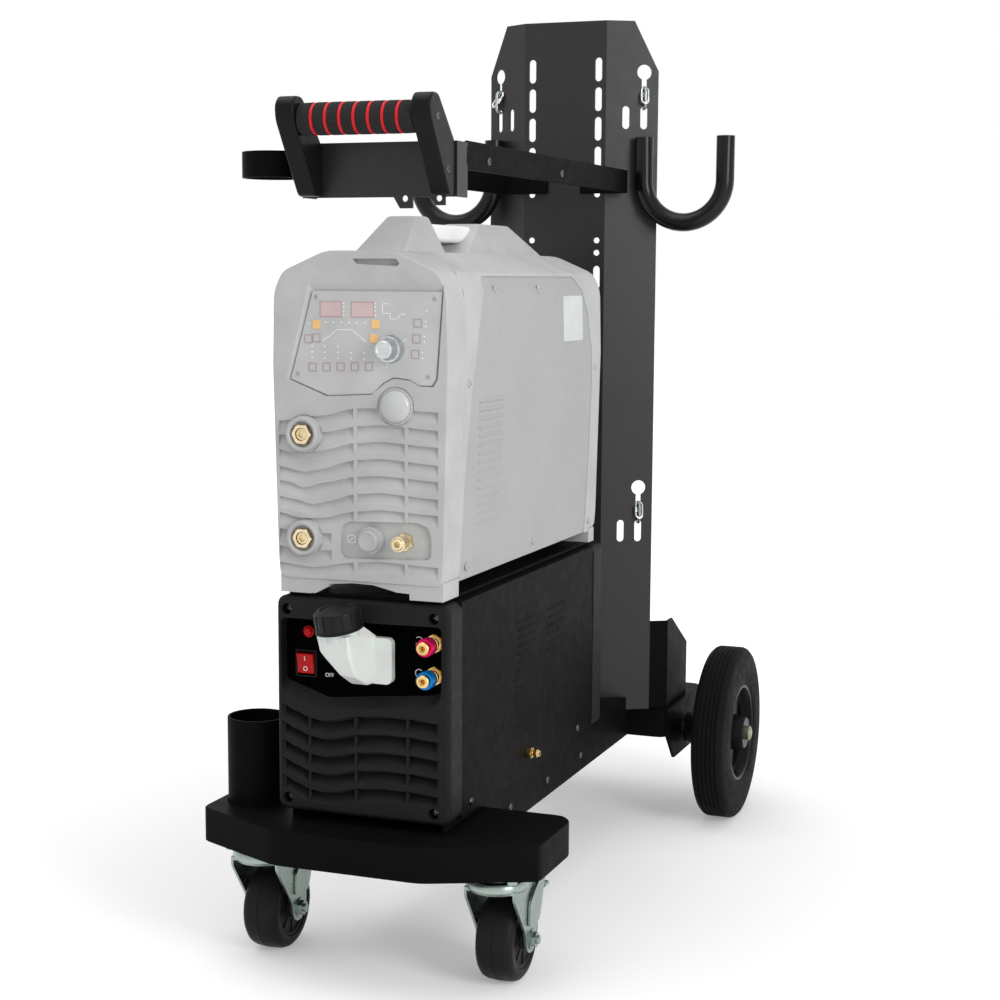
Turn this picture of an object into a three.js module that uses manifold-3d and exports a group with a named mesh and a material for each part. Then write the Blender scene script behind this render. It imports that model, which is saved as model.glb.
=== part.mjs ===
// Inverter welder standing on its water cooler, on a two-wheel bottle trolley.
// Millimetres. X to the right seen from the front, Y to the back, Z up, floor at Z = 0.
import * as THREE from 'three';
import { ConvexGeometry } from 'three/addons/geometries/ConvexGeometry.js';
import { mergeVertices } from 'three/addons/utils/BufferGeometryUtils.js';
import Module from 'manifold-3d';

const wasm = await Module();
wasm.setup();

// ---- driving dimensions -------------------------------------------------------------------
const GAP = 0.3;                // clearance between pieces that touch
const SHEET = 3;                // trolley sheet

const WHEEL_R = 125;            // rear tyre
const WHEEL_W = 50;
const WHEEL_X = 214;            // middle of the rear tyre
const WHEEL_Y = 805;
const RIM_R = 70;
const HUB_R = 23;
const AXLE_R = 10;

const CASTER_R = 50;
const CASTER_W = 44;
const CASTER_X = 145;
const CASTER_Y = 40;            // swivel axis
const TRAIL = 32;

const HEAD = 78.6;             // wheel top to deck top: fork crown, race, plate and pan
const DECK_TOP = 2 * CASTER_R + HEAD;
const DECK_DEEP = 39.6;
const DECK_HALF = 206;
const DECK_NOSE = 88;
const DECK_FRONT = -46.6;
const DECK_BACK = 129;

const CHASSIS_HALF = 93;
const CHASSIS_RISE = 11.4;      // chassis above the deck
const CHASSIS_DEEP = 58;
const CHASSIS_TOP = DECK_TOP + CHASSIS_RISE;
const CHASSIS_LOW = CHASSIS_TOP - CHASSIS_DEEP;

const BASE_HALF = 147;          // rear outrigger
const BASE_FRONT = 707;
const BASE_BACK = 903;
const BASE_DEEP = 40;
const BASE_TOP = CHASSIS_LOW + 39;

const COOLER_HALF = 104.6;
const COOLER_LOW = CHASSIS_TOP + GAP;
const COOLER_TALL = 244.3;
const COOLER_LONG = 535;
const BEZEL_DEEP = 35;

const STACK_PLATE = 4.2;
const WELDER_HALF = 104;
const WELDER_TALL = 374;
const WELDER_LONG = 520;
const WELDER_BEZEL = 43;

const COLUMN_Y = 669.8;
const COLUMN_HALF = 59.3;
const COLUMN_TOP = 1134.4;
const WING_X = 64.1;
const WING_Y = 35.8;

const HOOK_R = 12.5;
const HOOK_SPAN = 114.4;
const HOOK_BOTTOM = 861.5;
const HOOK_TOP = 977;

const ARM_LOW = 901;
const ARM_TALL = 31;
const PANEL_HALF = 92;
const PANEL_Y = 48;
const GRIP_Y = 0;
const GRIP_Z = 952;
const GRIP_R = 17.5;
const GRIP_HALF = 68;

const ROD_R = 35;
const ROD_WALL = 3;
const ROD_TALL = 100.4;

// ---- helpers ------------------------------------------------------------------------------
const group = new THREE.Group();
group.name = 'welding_trolley';

function toSolid(geometry) {
  const plain = new THREE.BufferGeometry();
  const source = geometry.index ? geometry.toNonIndexed() : geometry;
  plain.setAttribute('position', source.getAttribute('position').clone());
  const welded = mergeVertices(plain, 1e-4);
  const mesh = new wasm.Mesh({
    numProp: 3,
    vertProperties: new Float32Array(welded.attributes.position.array),
    triVerts: new Uint32Array(welded.index.array),
  });
  return new wasm.Manifold(mesh);
}

function toGeometry(solid) {
  const mesh = solid.getMesh();
  const geometry = new THREE.BufferGeometry();
  geometry.setAttribute('position', new THREE.BufferAttribute(new Float32Array(mesh.vertProperties), 3));
  geometry.setIndex(new THREE.BufferAttribute(new Uint32Array(mesh.triVerts), 1));
  const flat = geometry.toNonIndexed();
  flat.computeVertexNormals();
  return flat;
}

function join(first, ...rest) {
  return rest.reduce((sum, one) => sum.add(one), first);
}

function cut(body, ...tools) {
  return tools.reduce((left, one) => left.subtract(one), body);
}

function put(name, solid, look) {
  const material = new THREE.MeshStandardMaterial(look);
  const mesh = new THREE.Mesh(toGeometry(solid), material);
  mesh.name = name;
  group.add(mesh);
  return mesh;
}

function box(x0, x1, y0, y1, z0, z1) {
  const geometry = new THREE.BoxGeometry(x1 - x0, y1 - y0, z1 - z0);
  geometry.translate((x0 + x1) / 2, (y0 + y1) / 2, (z0 + z1) / 2);
  return toSolid(geometry);
}

// A cylinder along 'x', 'y' or 'z' from a to b, its axis through the other two coordinates.
function rod(axis, radius, a, b, c1, c2, sides = 24) {
  const geometry = new THREE.CylinderGeometry(radius, radius, b - a, sides);
  const middle = (a + b) / 2;
  if (axis === 'x') {
    geometry.rotateZ(Math.PI / 2);
    geometry.translate(middle, c1, c2);
  } else if (axis === 'y') {
    geometry.translate(c1, middle, c2);
  } else {
    geometry.rotateX(Math.PI / 2);
    geometry.translate(c1, c2, middle);
  }
  return toSolid(geometry);
}

// Rounds the corners of a polygon with short arcs.
function rounded(points, radius, steps = 3) {
  const out = [];
  const n = points.length;
  for (let i = 0; i < n; i += 1) {
    const [px, py] = points[(i + n - 1) % n];
    const [cx, cy] = points[i];
    const [nx, ny] = points[(i + 1) % n];
    const before = Math.hypot(px - cx, py - cy);
    const after = Math.hypot(nx - cx, ny - cy);
    const r = Math.min(radius, before / 2.1, after / 2.1);
    const ax = cx + ((px - cx) / before) * r;
    const ay = cy + ((py - cy) / before) * r;
    const bx = cx + ((nx - cx) / after) * r;
    const by = cy + ((ny - cy) / after) * r;
    for (let s = 0; s <= steps; s += 1) {
      const t = s / steps;
      const u = 1 - t;
      out.push([u * u * ax + 2 * u * t * cx + t * t * bx, u * u * ay + 2 * u * t * cy + t * t * by]);
    }
  }
  return out;
}

// Moves every side of a convex anticlockwise polygon inwards.
function inset(points, distance) {
  const n = points.length;
  const lines = points.map(([x, y], i) => {
    const [u, v] = points[(i + 1) % n];
    const long = Math.hypot(u - x, v - y);
    const nx = -(v - y) / long;
    const ny = (u - x) / long;
    return { x: x + nx * distance, y: y + ny * distance, dx: u - x, dy: v - y };
  });
  return lines.map((b, i) => {
    const a = lines[(i + n - 1) % n];
    const det = a.dx * b.dy - a.dy * b.dx;
    const t = ((b.x - a.x) * b.dy - (b.y - a.y) * b.dx) / det;
    return [a.x + a.dx * t, a.y + a.dy * t];
  });
}

// A prism: a polygon in the plane across an axis, run from a to b along that axis.
function prism(axis, points, a, b) {
  const shape = new THREE.Shape(points.map(([u, v]) => new THREE.Vector2(u, v)));
  const geometry = new THREE.ExtrudeGeometry(shape, { depth: b - a, bevelEnabled: false });
  geometry.translate(0, 0, a);
  const basis = new THREE.Matrix4();
  if (axis === 'x') {
    basis.makeBasis(new THREE.Vector3(0, 1, 0), new THREE.Vector3(0, 0, 1), new THREE.Vector3(1, 0, 0));
  } else if (axis === 'y') {
    basis.makeBasis(new THREE.Vector3(-1, 0, 0), new THREE.Vector3(0, 0, 1), new THREE.Vector3(0, 1, 0));
  }
  geometry.applyMatrix4(basis);
  return toSolid(geometry);
}

// A prism along Y whose outline is given as [x, z].
function slab(points, y0, y1) {
  return prism('y', points.map(([x, z]) => [-x, z]).reverse(), y0, y1);
}

// A solid of revolution about the X axis; the profile is [x, r] and closed on itself or the axis.
function turned(profile, y, z, sides = 32) {
  const area = profile.reduce((sum, [x, r], i) => {
    const [u, v] = profile[(i + 1) % profile.length];
    return sum + x * v - u * r;
  }, 0);
  const ordered = area > 0 ? [...profile].reverse() : profile;
  const geometry = new THREE.LatheGeometry(ordered.map(([x, r]) => new THREE.Vector2(r, x)), sides);
  geometry.rotateZ(-Math.PI / 2);
  geometry.translate(0, y, z);
  const solid = toSolid(geometry);
  return solid;
}

// A round tube or bar swept along an open path.
function sweep(path, radius, steps, sides = 12) {
  const circle = new THREE.Shape();
  circle.absarc(0, 0, radius, 0, Math.PI * 2, false);
  const options = { steps, extrudePath: path, curveSegments: sides, bevelEnabled: false };
  return toSolid(new THREE.ExtrudeGeometry(circle, options));
}

// A closed wire loop through the given points.
function wireLoop(points, radius, sides = 6) {
  const n = points.length;
  const vertices = [];
  const index = [];
  const normal = new THREE.Vector3();
  normal.crossVectors(points[1].clone().sub(points[0]), points[3].clone().sub(points[0])).normalize();
  points.forEach((p, i) => {
    const along = points[(i + 1) % n].clone().sub(points[(i + n - 1) % n]).normalize();
    const side = new THREE.Vector3().crossVectors(along, normal).normalize();
    for (let s = 0; s < sides; s += 1) {
      const angle = (s / sides) * Math.PI * 2;
      const v = p.clone();
      v.addScaledVector(side, radius * Math.cos(angle));
      v.addScaledVector(normal, radius * Math.sin(angle));
      vertices.push(v.x, v.y, v.z);
    }
  });
  for (let i = 0; i < n; i += 1) {
    const j = (i + 1) % n;
    for (let s = 0; s < sides; s += 1) {
      const t = (s + 1) % sides;
      index.push(i * sides + s, j * sides + t, i * sides + t);
      index.push(i * sides + s, j * sides + s, j * sides + t);
    }
  }
  const geometry = new THREE.BufferGeometry();
  geometry.setAttribute('position', new THREE.Float32BufferAttribute(vertices, 3));
  geometry.setIndex(index);
  return toSolid(geometry);
}

const blackSteel = { color: 0x1b1b1d, roughness: 0.5, metalness: 0.2 };
const blackPlastic = { color: 0x18181a, roughness: 0.55, metalness: 0 };
const paleShell = { color: 0xb4b5b4, roughness: 0.6, metalness: 0 };
const zinc = { color: 0xc2cdca, roughness: 0.35, metalness: 0.9 };
const rubber = { color: 0x161617, roughness: 0.75, metalness: 0 };
const brass = { color: 0xb98a3c, roughness: 0.3, metalness: 1 };
const SIDES = [['left', -1], ['right', 1]];

// ---- deck and caster mounting -------------------------------------------------------------
const deckLow = DECK_TOP - DECK_DEEP;
const deckOutline = [
  [-DECK_NOSE, DECK_FRONT], [DECK_NOSE, DECK_FRONT], [DECK_HALF, 8], [DECK_HALF, 111],
  [DECK_HALF - 14, DECK_BACK], [-DECK_HALF + 14, DECK_BACK], [-DECK_HALF, 111], [-DECK_HALF, 8],
];
const deckOuter = prism('z', rounded(deckOutline, 9, 2), deckLow, DECK_TOP);
const deckInner = prism('z', inset(deckOutline, SHEET), deckLow - 1, DECK_TOP - SHEET);
put('deck_pan', cut(deckOuter, deckInner), blackSteel);

const padLow = deckLow + 1.2;
const padBack = CASTER_Y + 42;
put('caster_channel', cut(
  box(-CASTER_X - 34, CASTER_X + 34, CASTER_Y - 34, padBack, padLow, DECK_TOP - SHEET - GAP),
  box(-CASTER_X - 35, CASTER_X + 35, CASTER_Y - 31, padBack - SHEET, padLow + SHEET, DECK_TOP),
), blackSteel);

// ---- chassis, outrigger, bottle cradle ------------------------------------------------------
const chassisBack = BASE_FRONT - GAP;
const innerHalf = CHASSIS_HALF - SHEET;
const chassisFront = cut(
  box(-CHASSIS_HALF, CHASSIS_HALF, 12, chassisBack, DECK_TOP + GAP, CHASSIS_TOP),
  box(-innerHalf, innerHalf, 11, chassisBack + 1, DECK_TOP - 1, CHASSIS_TOP - SHEET),
);
const chassisRear = cut(
  box(-CHASSIS_HALF, CHASSIS_HALF, DECK_BACK + 4, chassisBack, CHASSIS_LOW, CHASSIS_TOP),
  box(-innerHalf, innerHalf, DECK_BACK, chassisBack + 1, CHASSIS_LOW - 1, CHASSIS_TOP - SHEET),
);
put('chassis_tray', join(chassisFront, chassisRear), blackSteel);

const baseLow = BASE_TOP - BASE_DEEP;
const baseRing = [
  [-BASE_HALF, BASE_FRONT], [BASE_HALF, BASE_FRONT], [BASE_HALF, BASE_BACK], [-BASE_HALF, BASE_BACK],
];
const plateSide = [
  [BASE_FRONT + 6, BASE_TOP], [BASE_FRONT + 6, baseLow + 2], [751, 92], [859, 92],
  [BASE_BACK - 4, baseLow + 2], [BASE_BACK - 4, BASE_TOP],
];
let outrigger = cut(
  prism('z', rounded(baseRing, 12, 3), baseLow, BASE_TOP),
  prism('z', rounded(inset(baseRing, SHEET), 9, 3), baseLow - 1, BASE_TOP - SHEET),
);
SIDES.forEach(([, s]) => {
  const a = s > 0 ? BASE_HALF - 1 : -BASE_HALF - 3;
  outrigger = join(outrigger, prism('x', plateSide, a, a + 4));
});
outrigger = cut(outrigger, rod('x', AXLE_R + GAP, -200, 200, WHEEL_Y, WHEEL_R));
put('rear_outrigger', outrigger, blackSteel);

// Wing direction of the folded column, and a frame lying on its front face.
const wingLong = Math.hypot(WING_X, WING_Y);
const wingU = [WING_X / wingLong, WING_Y / wingLong];
const wingN = [-wingU[1], wingU[0]];

function bent(offset, tipLong, z0, z1) {
  const half = COLUMN_HALF - offset * Math.tan(Math.atan2(wingU[1], wingU[0]) / 2);
  const y = COLUMN_Y + offset;
  const tip = [half + wingU[0] * tipLong, y + wingU[1] * tipLong];
  const back = SHEET * Math.tan(Math.atan2(wingU[1], wingU[0]) / 2);
  const inner = half - back;
  const tipIn = [tip[0] + wingN[0] * SHEET, tip[1] + wingN[1] * SHEET];
  return prism('z', [
    [-tip[0], tip[1]], [-half, y], [half, y], tip, tipIn,
    [inner, y + SHEET], [-inner, y + SHEET], [-tipIn[0], tipIn[1]],
  ], z0, z1);
}

// Cutters for the right-hand wing: u runs out from the fold, drawn as [u, z].
function throughWing(points, side) {
  const shape = new THREE.Shape(points.map(([u, z]) => new THREE.Vector2(u, z)));
  const geometry = new THREE.ExtrudeGeometry(shape, { depth: 24, bevelEnabled: false });
  geometry.translate(0, 0, -12);
  const basis = new THREE.Matrix4().makeBasis(
    new THREE.Vector3(wingU[0], wingU[1], 0),
    new THREE.Vector3(0, 0, 1),
    new THREE.Vector3(wingU[1], -wingU[0], 0),
  );
  geometry.applyMatrix4(basis);
  geometry.translate(COLUMN_HALF, COLUMN_Y, 0);
  const solid = toSolid(geometry);
  return side > 0 ? solid : solid.mirror([1, 0, 0]);
}

function ringPoints(u, z, r, from = 0, to = Math.PI * 2, steps = 10) {
  const out = [];
  for (let i = 0; i <= steps; i += 1) {
    const a = from + ((to - from) * i) / steps;
    out.push([u + r * Math.cos(a), z + r * Math.sin(a)]);
  }
  return out;
}

function slotPoints(u, z0, z1, r) {
  return [...ringPoints(u, z1 - r, r, 0, Math.PI, 3), ...ringPoints(u, z0 + r, r, Math.PI, Math.PI * 2, 3)];
}

const KEY_U = 53.5;
const KEY_R = 10;
const NECK = 3.6;
const SLOT_R = 5;
const KEYS = [[1066, 1043], [492, 469]];

let column = bent(0, wingLong, BASE_TOP + 1, COLUMN_TOP);
column = cut(column, box(-CHASSIS_HALF - 1, CHASSIS_HALF + 1, COLUMN_Y - 9, BASE_FRONT + 30, 100, CHASSIS_TOP + GAP));
SIDES.forEach(([, s]) => {
  const corner = [[wingLong - 35, COLUMN_TOP + 1], [wingLong + 9, COLUMN_TOP + 1], [wingLong + 9, COLUMN_TOP - 67]];
  corner.push([wingLong, COLUMN_TOP - 67]);
  column = cut(column, throughWing([...corner].reverse(), s));
  KEYS.forEach(([z, neck]) => {
    column = cut(column, throughWing(ringPoints(KEY_U, z, KEY_R, 0, Math.PI * 2 * 9 / 10, 9), s));
    column = cut(column, throughWing(slotPoints(KEY_U, neck, z, NECK), s));
    [28.3, KEY_U].forEach((u) => {
      column = cut(column, throughWing(slotPoints(u, neck - 54, neck - 23, SLOT_R), s));
    });
  });
  [1085, 1045, 1005, 965, 802].forEach((top) => {
    column = cut(column, slab(slotPoints(48 * s, top - 32, top, SLOT_R), COLUMN_Y - 9, COLUMN_Y + 9));
  });
  [900, 837, 820].forEach((z) => {
    column = cut(column, rod('y', 4, COLUMN_Y - 9, COLUMN_Y + 9, 47 * s, z, 8));
  });
});
put('bottle_column', column, blackSteel);

// Low cradle round the bottle's foot: floor, two sides and two flanges behind the wings.
const cradleTop = BASE_TOP + 128;
const cradleFloor = BASE_TOP + GAP;
const cradleBack = 836;
const flangeN = SHEET + 0.8;
const flangeTip = wingLong + 27;
const tipX = COLUMN_HALF + wingU[0] * flangeTip;
const tipY = COLUMN_Y + wingU[1] * flangeTip;
const nearU = 44;
const rootX = COLUMN_HALF + wingU[0] * nearU;
const rootY = COLUMN_Y + wingU[1] * nearU;
function cradleWall(s) {
  const outline = [
    [rootX + wingN[0] * flangeN, rootY + wingN[1] * flangeN],
    [tipX + wingN[0] * flangeN, tipY + wingN[1] * flangeN],
    [tipX - 4, cradleBack],
    [tipX - 4 - SHEET, cradleBack],
    [tipX - SHEET - 1 + wingN[0] * flangeN, tipY + wingN[1] * (flangeN + SHEET)],
    [rootX + wingN[0] * (flangeN + SHEET), rootY + wingN[1] * (flangeN + SHEET)],
  ].map(([x, y]) => [x * s, y]);
  const wall = prism('z', s > 0 ? outline : outline.reverse(), cradleFloor, cradleTop);
  const chamfer = prism('x', [
    [745, cradleTop + 2], [838, cradleTop - 51], [850, cradleTop - 51], [850, cradleTop + 2],
  ], -200, 200);
  return cut(wall, chamfer);
}
const floorHalf = tipX - 4.5;
put('bottle_cradle', join(
  cradleWall(1),
  cradleWall(-1),
  box(-floorHalf, floorHalf, tipY + 8, cradleBack, cradleFloor, cradleFloor + SHEET),
), blackSteel);

// ---- hooks, arms, push handle ---------------------------------------------------------------
const hookX = COLUMN_HALF + 51.5;
const hookY = 683.7;
const bend = HOOK_SPAN / 2;
SIDES.forEach(([name, s]) => {
  const path = new THREE.CurvePath();
  const point = (x, z) => new THREE.Vector3(x * s, hookY, z);
  const arcPoints = [];
  for (let i = 0; i <= 10; i += 1) {
    const a = Math.PI + (Math.PI * i) / 10;
    arcPoints.push(point(hookX + bend + bend * Math.cos(a), HOOK_BOTTOM + bend + bend * Math.sin(a)));
  }
  const all = [point(hookX, HOOK_TOP), ...arcPoints, point(hookX + HOOK_SPAN, HOOK_TOP)];
  for (let i = 1; i < all.length; i += 1) {
    path.add(new THREE.LineCurve3(all[i - 1], all[i]));
  }
  path.getPoint = (t) => {
    const k = Math.min(all.length - 2, Math.floor(t * (all.length - 1) + 1e-9));
    return all[k].clone().lerp(all[k + 1], t * (all.length - 1) - k);
  };
  path.getPointAt = path.getPoint;
  put(`cable_hook_${name}`, sweep(path, HOOK_R, all.length - 1, 8), blackSteel);

  const out = PANEL_HALF * s;
  const inn = (PANEL_HALF - 4) * s;
  const armFront = PANEL_Y + 30 + GAP;
  const armBack = COLUMN_Y - GAP;
  const armTop = ARM_LOW + ARM_TALL;
  const x0 = Math.min(out, inn);
  const x1 = Math.max(out, inn);
  const f0 = Math.min(out, 24 * s);
  const f1 = Math.max(out, 24 * s);
  put(`arm_${name}`, join(
    box(x0, x1, armFront, armBack, ARM_LOW, armTop),
    box(f0, f1, armBack - 4, armBack, ARM_LOW, armTop),
  ), blackSteel);
});

const panelLow = ARM_LOW - 30;
const panelTop = ARM_LOW + 29;
let panel = cut(
  box(-PANEL_HALF, PANEL_HALF, PANEL_Y, PANEL_Y + 30, panelLow, panelTop),
  box(-PANEL_HALF + SHEET, PANEL_HALF - SHEET, PANEL_Y + SHEET, PANEL_Y + 31, panelLow - 1, panelTop + 1),
);
[[16, 40, 12], [58, 78, 9]].forEach(([a, b, deep]) => {
  const tab = [[a, panelLow + 3], [a + 9, panelLow - deep], [b, panelLow - deep], [b, panelLow + 3]];
  panel = join(panel, slab(tab, PANEL_Y, PANEL_Y + SHEET));
  panel = cut(panel, rod('y', 3.6, PANEL_Y - 4, PANEL_Y + 9, (a + b) / 2 + 3, panelLow - 1.5, 12));
});
put('handle_panel', panel, blackSteel);

const armFace = PANEL_Y - GAP;
const sideProfile = rounded([
  [armFace, panelLow + 1], [armFace, panelTop - 1], [GRIP_Y + 2, GRIP_Z + 24], [GRIP_Y - 14, GRIP_Z + 24],
  [GRIP_Y - 22, GRIP_Z + 14], [GRIP_Y - 20, GRIP_Z - 2], [32, panelLow + 1],
], 5, 2);
SIDES.forEach(([name, s]) => {
  const a = s > 0 ? GRIP_HALF : -GRIP_HALF - 22;
  put(`handle_side_${name}`, prism('x', sideProfile, a, a + 22), blackPlastic);
});
put('handle_grip', rod('x', GRIP_R, -GRIP_HALF + GAP, GRIP_HALF - GAP, GRIP_Y, GRIP_Z, 28), rubber);

// ---- filler-rod holder ------------------------------------------------------------------------
const RING_X = -139;
const RING_Y = 70;
put('rod_ring', cut(
  join(rod('z', ROD_R, 894, 923, RING_X, RING_Y, 24), box(RING_X + 32, -PANEL_HALF - GAP, 60, 74, 897, 920)),
  rod('z', ROD_R - ROD_WALL, 890, 930, RING_X, RING_Y, 24),
), blackSteel);
put('rod_tube', cut(
  rod('z', ROD_R, DECK_TOP + GAP, DECK_TOP + ROD_TALL, -162, 61, 24),
  rod('z', ROD_R - ROD_WALL, DECK_TOP + SHEET, DECK_TOP + ROD_TALL + 10, -162, 61, 24),
), blackSteel);

// ---- casters --------------------------------------------------------------------------------
SIDES.forEach(([name, s]) => {
  const cx = CASTER_X * s;
  const ay = CASTER_Y + TRAIL;
  const plateTop = padLow - GAP;
  put(`caster_plate_${name}`, join(
    box(cx - 38, cx + 38, CASTER_Y - 38, CASTER_Y + 38, plateTop - 3.5, plateTop),
    rod('z', 31, plateTop - 11, plateTop - 3, cx, CASTER_Y, 18),
  ), zinc);
  const crownTop = plateTop - 11 - GAP;
  const crownLow = crownTop - 12;
  const legProfile = rounded([
    [CASTER_Y - 24, crownLow + 4], [CASTER_Y - 24, crownLow - 6], [ay - 18, CASTER_R + 8],
    [ay - 16, CASTER_R - 12], [ay + 4, CASTER_R - 17], [ay + 17, CASTER_R - 3],
    [ay + 17, CASTER_R + 22], [CASTER_Y + 36, crownLow + 4],
  ], 9, 2);
  const legIn = CASTER_W / 2 + 5;
  put(`caster_fork_${name}`, join(
    rod('z', 33, crownLow, crownTop, cx, CASTER_Y, 16),
    box(cx - legIn - 3, cx + legIn + 3, CASTER_Y - 24, CASTER_Y + 36, crownLow, crownLow + 4),
    prism('x', legProfile, cx - legIn - 3, cx - legIn),
    prism('x', legProfile, cx + legIn, cx + legIn + 3),
    rod('x', 5, cx - legIn - 9, cx + legIn + 12, ay, CASTER_R, 12),
    rod('x', 9, cx - legIn - 8, cx - legIn - 2, ay, CASTER_R, 6),
    rod('x', 9, cx + legIn + 2, cx + legIn + 9, ay, CASTER_R, 6),
  ), zinc);
  const half = CASTER_W / 2;
  put(`caster_wheel_${name}`, turned([
    [-half - 3, 5.3], [half + 3, 5.3], [half + 3, 16], [half - 3, 16], [half - 1, 30], [half, 42],
    [half - 6, 48], [0, CASTER_R], [6 - half, 48], [-half, 42], [1 - half, 30], [3 - half, 16],
    [-half - 3, 16], [-half - 3, 5.3],
  ], ay, CASTER_R, 22).translate([cx, 0, 0]), rubber);
  const bx = cx + legIn + 3 + 0.6;
  const tyreTop = CASTER_R * 2;
  put(`caster_brake_${name}`, join(
    prism('x', rounded([
      [ay - 16, CASTER_R + 18], [ay + 16, CASTER_R + 18], [ay + 30, tyreTop + 6], [ay + 40, tyreTop + 22],
      [ay + 34, tyreTop + 26], [ay + 2, tyreTop + 8], [ay - 14, tyreTop - 4],
    ], 6, 2), bx, bx + 3),
    box(bx - 20, bx + 3, ay + 33, ay + 46, tyreTop, tyreTop + 4),
    prism('x', [
      [ay + 25, tyreTop - 1], [ay + 46, tyreTop], [ay + 46, tyreTop + 4], [ay + 27, tyreTop + 6],
    ], bx - 20, bx + 2),
  ), zinc);
});

// ---- rear wheels ------------------------------------------------------------------------------
const axleEnd = WHEEL_X + WHEEL_W / 2 + 7;
put('rear_axle', rod('x', AXLE_R, -axleEnd, axleEnd, WHEEL_Y, WHEEL_R, 20), brass);
SIDES.forEach(([name, s]) => {
  const half = WHEEL_W / 2;
  const shift = [WHEEL_X * s, 0, 0];
  put(`rear_tyre_${name}`, turned([
    [-half + 3, RIM_R], [half - 3, RIM_R], [half, RIM_R + 8], [half, WHEEL_R - 14], [half - 3, WHEEL_R - 4],
    [half - 9, WHEEL_R], [9 - half, WHEEL_R], [3 - half, WHEEL_R - 4], [-half, WHEEL_R - 14],
    [-half, RIM_R + 8], [3 - half, RIM_R],
  ], WHEEL_Y, WHEEL_R, 32).translate(shift), rubber);
  const hubIn = -(WHEEL_X - BASE_HALF - 3 - 4) * s;
  const hubOut = (half + 4) * s;
  const a = Math.min(hubIn, hubOut);
  const b = Math.max(hubIn, hubOut);
  let rim = turned([
    [a, AXLE_R + GAP], [b, AXLE_R + GAP], [b, HUB_R], [8, HUB_R + 3], [8, RIM_R - 8], [half - 4, RIM_R - 6],
    [half - 4, RIM_R - GAP], [4 - half, RIM_R - GAP], [4 - half, RIM_R - 6], [-8, RIM_R - 8],
    [-8, HUB_R + 3], [a, HUB_R], [a, AXLE_R + GAP],
  ], WHEEL_Y, WHEEL_R, 24).translate(shift);
  for (let i = 0; i < 6; i += 1) {
    const angle = (i / 6) * Math.PI * 2;
    const y = WHEEL_Y + 44 * Math.cos(angle);
    const z = WHEEL_R + 44 * Math.sin(angle);
    rim = cut(rim, rod('x', 13, WHEEL_X * s - 30, WHEEL_X * s + 30, y, z, 8));
  }
  put(`rear_rim_${name}`, rim, blackPlastic);
  const capIn = axleEnd + GAP;
  const c0 = s > 0 ? capIn : -capIn - 5;
  put(`axle_cap_${name}`, rod('x', 15, c0, c0 + 5, WHEEL_Y, WHEEL_R, 20), brass);
});

// ---- quick links for the bottle chain ---------------------------------------------------------
// Each passes through a keyhole's neck and the slot below it, one leg before the sheet, one behind.
const WIRE = 2;
function quickLink(name, s, neck) {
  const long = 23 + WIRE * 2 + 3;
  const wide = SHEET + 7 + WIRE * 2;
  const top = neck + WIRE + 0.9;
  const middle = top - long / 2;
  const r = wide / 2;
  const points = [];
  for (let i = 0; i < 14; i += 1) {
    const a = (i / 14) * Math.PI * 2;
    const w = r * Math.cos(a);
    const h = Math.sin(a) * r + Math.sign(Math.sin(a) || 1) * (long / 2 - r);
    const n = w + SHEET / 2;
    points.push(new THREE.Vector3(
      COLUMN_HALF + wingU[0] * KEY_U + wingN[0] * n,
      COLUMN_Y + wingU[1] * KEY_U + wingN[1] * n,
      middle + h,
    ));
  }
  const loop = wireLoop(points, WIRE);
  put(name, s > 0 ? loop : loop.mirror([1, 0, 0]), zinc);
}
quickLink('quick_link_upper_left', -1, KEYS[0][1]);
quickLink('quick_link_upper_right', 1, KEYS[0][1]);
quickLink('quick_link_lower_right', 1, KEYS[1][1]);

// ---- water cooler -----------------------------------------------------------------------------
const coolerTop = COOLER_LOW + COOLER_TALL;
const coolerFace = rounded([
  [-COOLER_HALF, COOLER_LOW], [COOLER_HALF, COOLER_LOW], [COOLER_HALF, coolerTop], [-COOLER_HALF, coolerTop],
], 9, 3);
const coolerHollow = [
  [-COOLER_HALF + 4, COOLER_LOW + 4], [COOLER_HALF - 4, COOLER_LOW + 4],
  [COOLER_HALF - 4, coolerTop - 4], [-COOLER_HALF + 4, coolerTop - 4],
];
const recessFloor = 14;
const recess = rounded([
  [-99, coolerTop - 26], [-99, coolerTop - 110.3], [-46, coolerTop - 128.3], [84, coolerTop - 115.3],
  [94, coolerTop - 104.3], [94, coolerTop - 24],
].reverse(), 5, 2);
const switchX = -74;
const switchZ = coolerTop - 78;
put('cooler_front_bezel', cut(
  slab(coolerFace, 0, BEZEL_DEEP),
  slab(coolerHollow, recessFloor + 4, BEZEL_DEEP + 1),
  slab(recess, -1, recessFloor),
  box(switchX - 10.8, switchX + 10.8, recessFloor - 1, recessFloor + 5, switchZ - 12.5, switchZ + 12.5),
  slab([
    [-98, COOLER_LOW + 22], [92, COOLER_LOW + 22], [92, coolerTop - 138.3], [-98, coolerTop - 138.3],
  ], -1, 5),
), blackPlastic);
put('cooler_rear_bezel', cut(
  slab(coolerFace, COOLER_LONG - BEZEL_DEEP, COOLER_LONG),
  slab(coolerHollow, COOLER_LONG - BEZEL_DEEP - 1, COOLER_LONG - 5),
), blackPlastic);
const coverFront = BEZEL_DEEP + GAP;
const coverBack = COOLER_LONG - BEZEL_DEEP - GAP;
put('cooler_cover', cut(
  box(1 - COOLER_HALF, COOLER_HALF - 1, coverFront, coverBack, COOLER_LOW + 0.5, coolerTop - 0.5),
  box(3 - COOLER_HALF, COOLER_HALF - 3, coverFront - 1, coverBack + 1, COOLER_LOW + 2.5, coolerTop - 2.5),
), blackSteel);
put('cooler_stack_plate', box(-92, 92, 8, COOLER_LONG - 24, coolerTop + GAP, coolerTop + STACK_PLATE), blackSteel);

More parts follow.
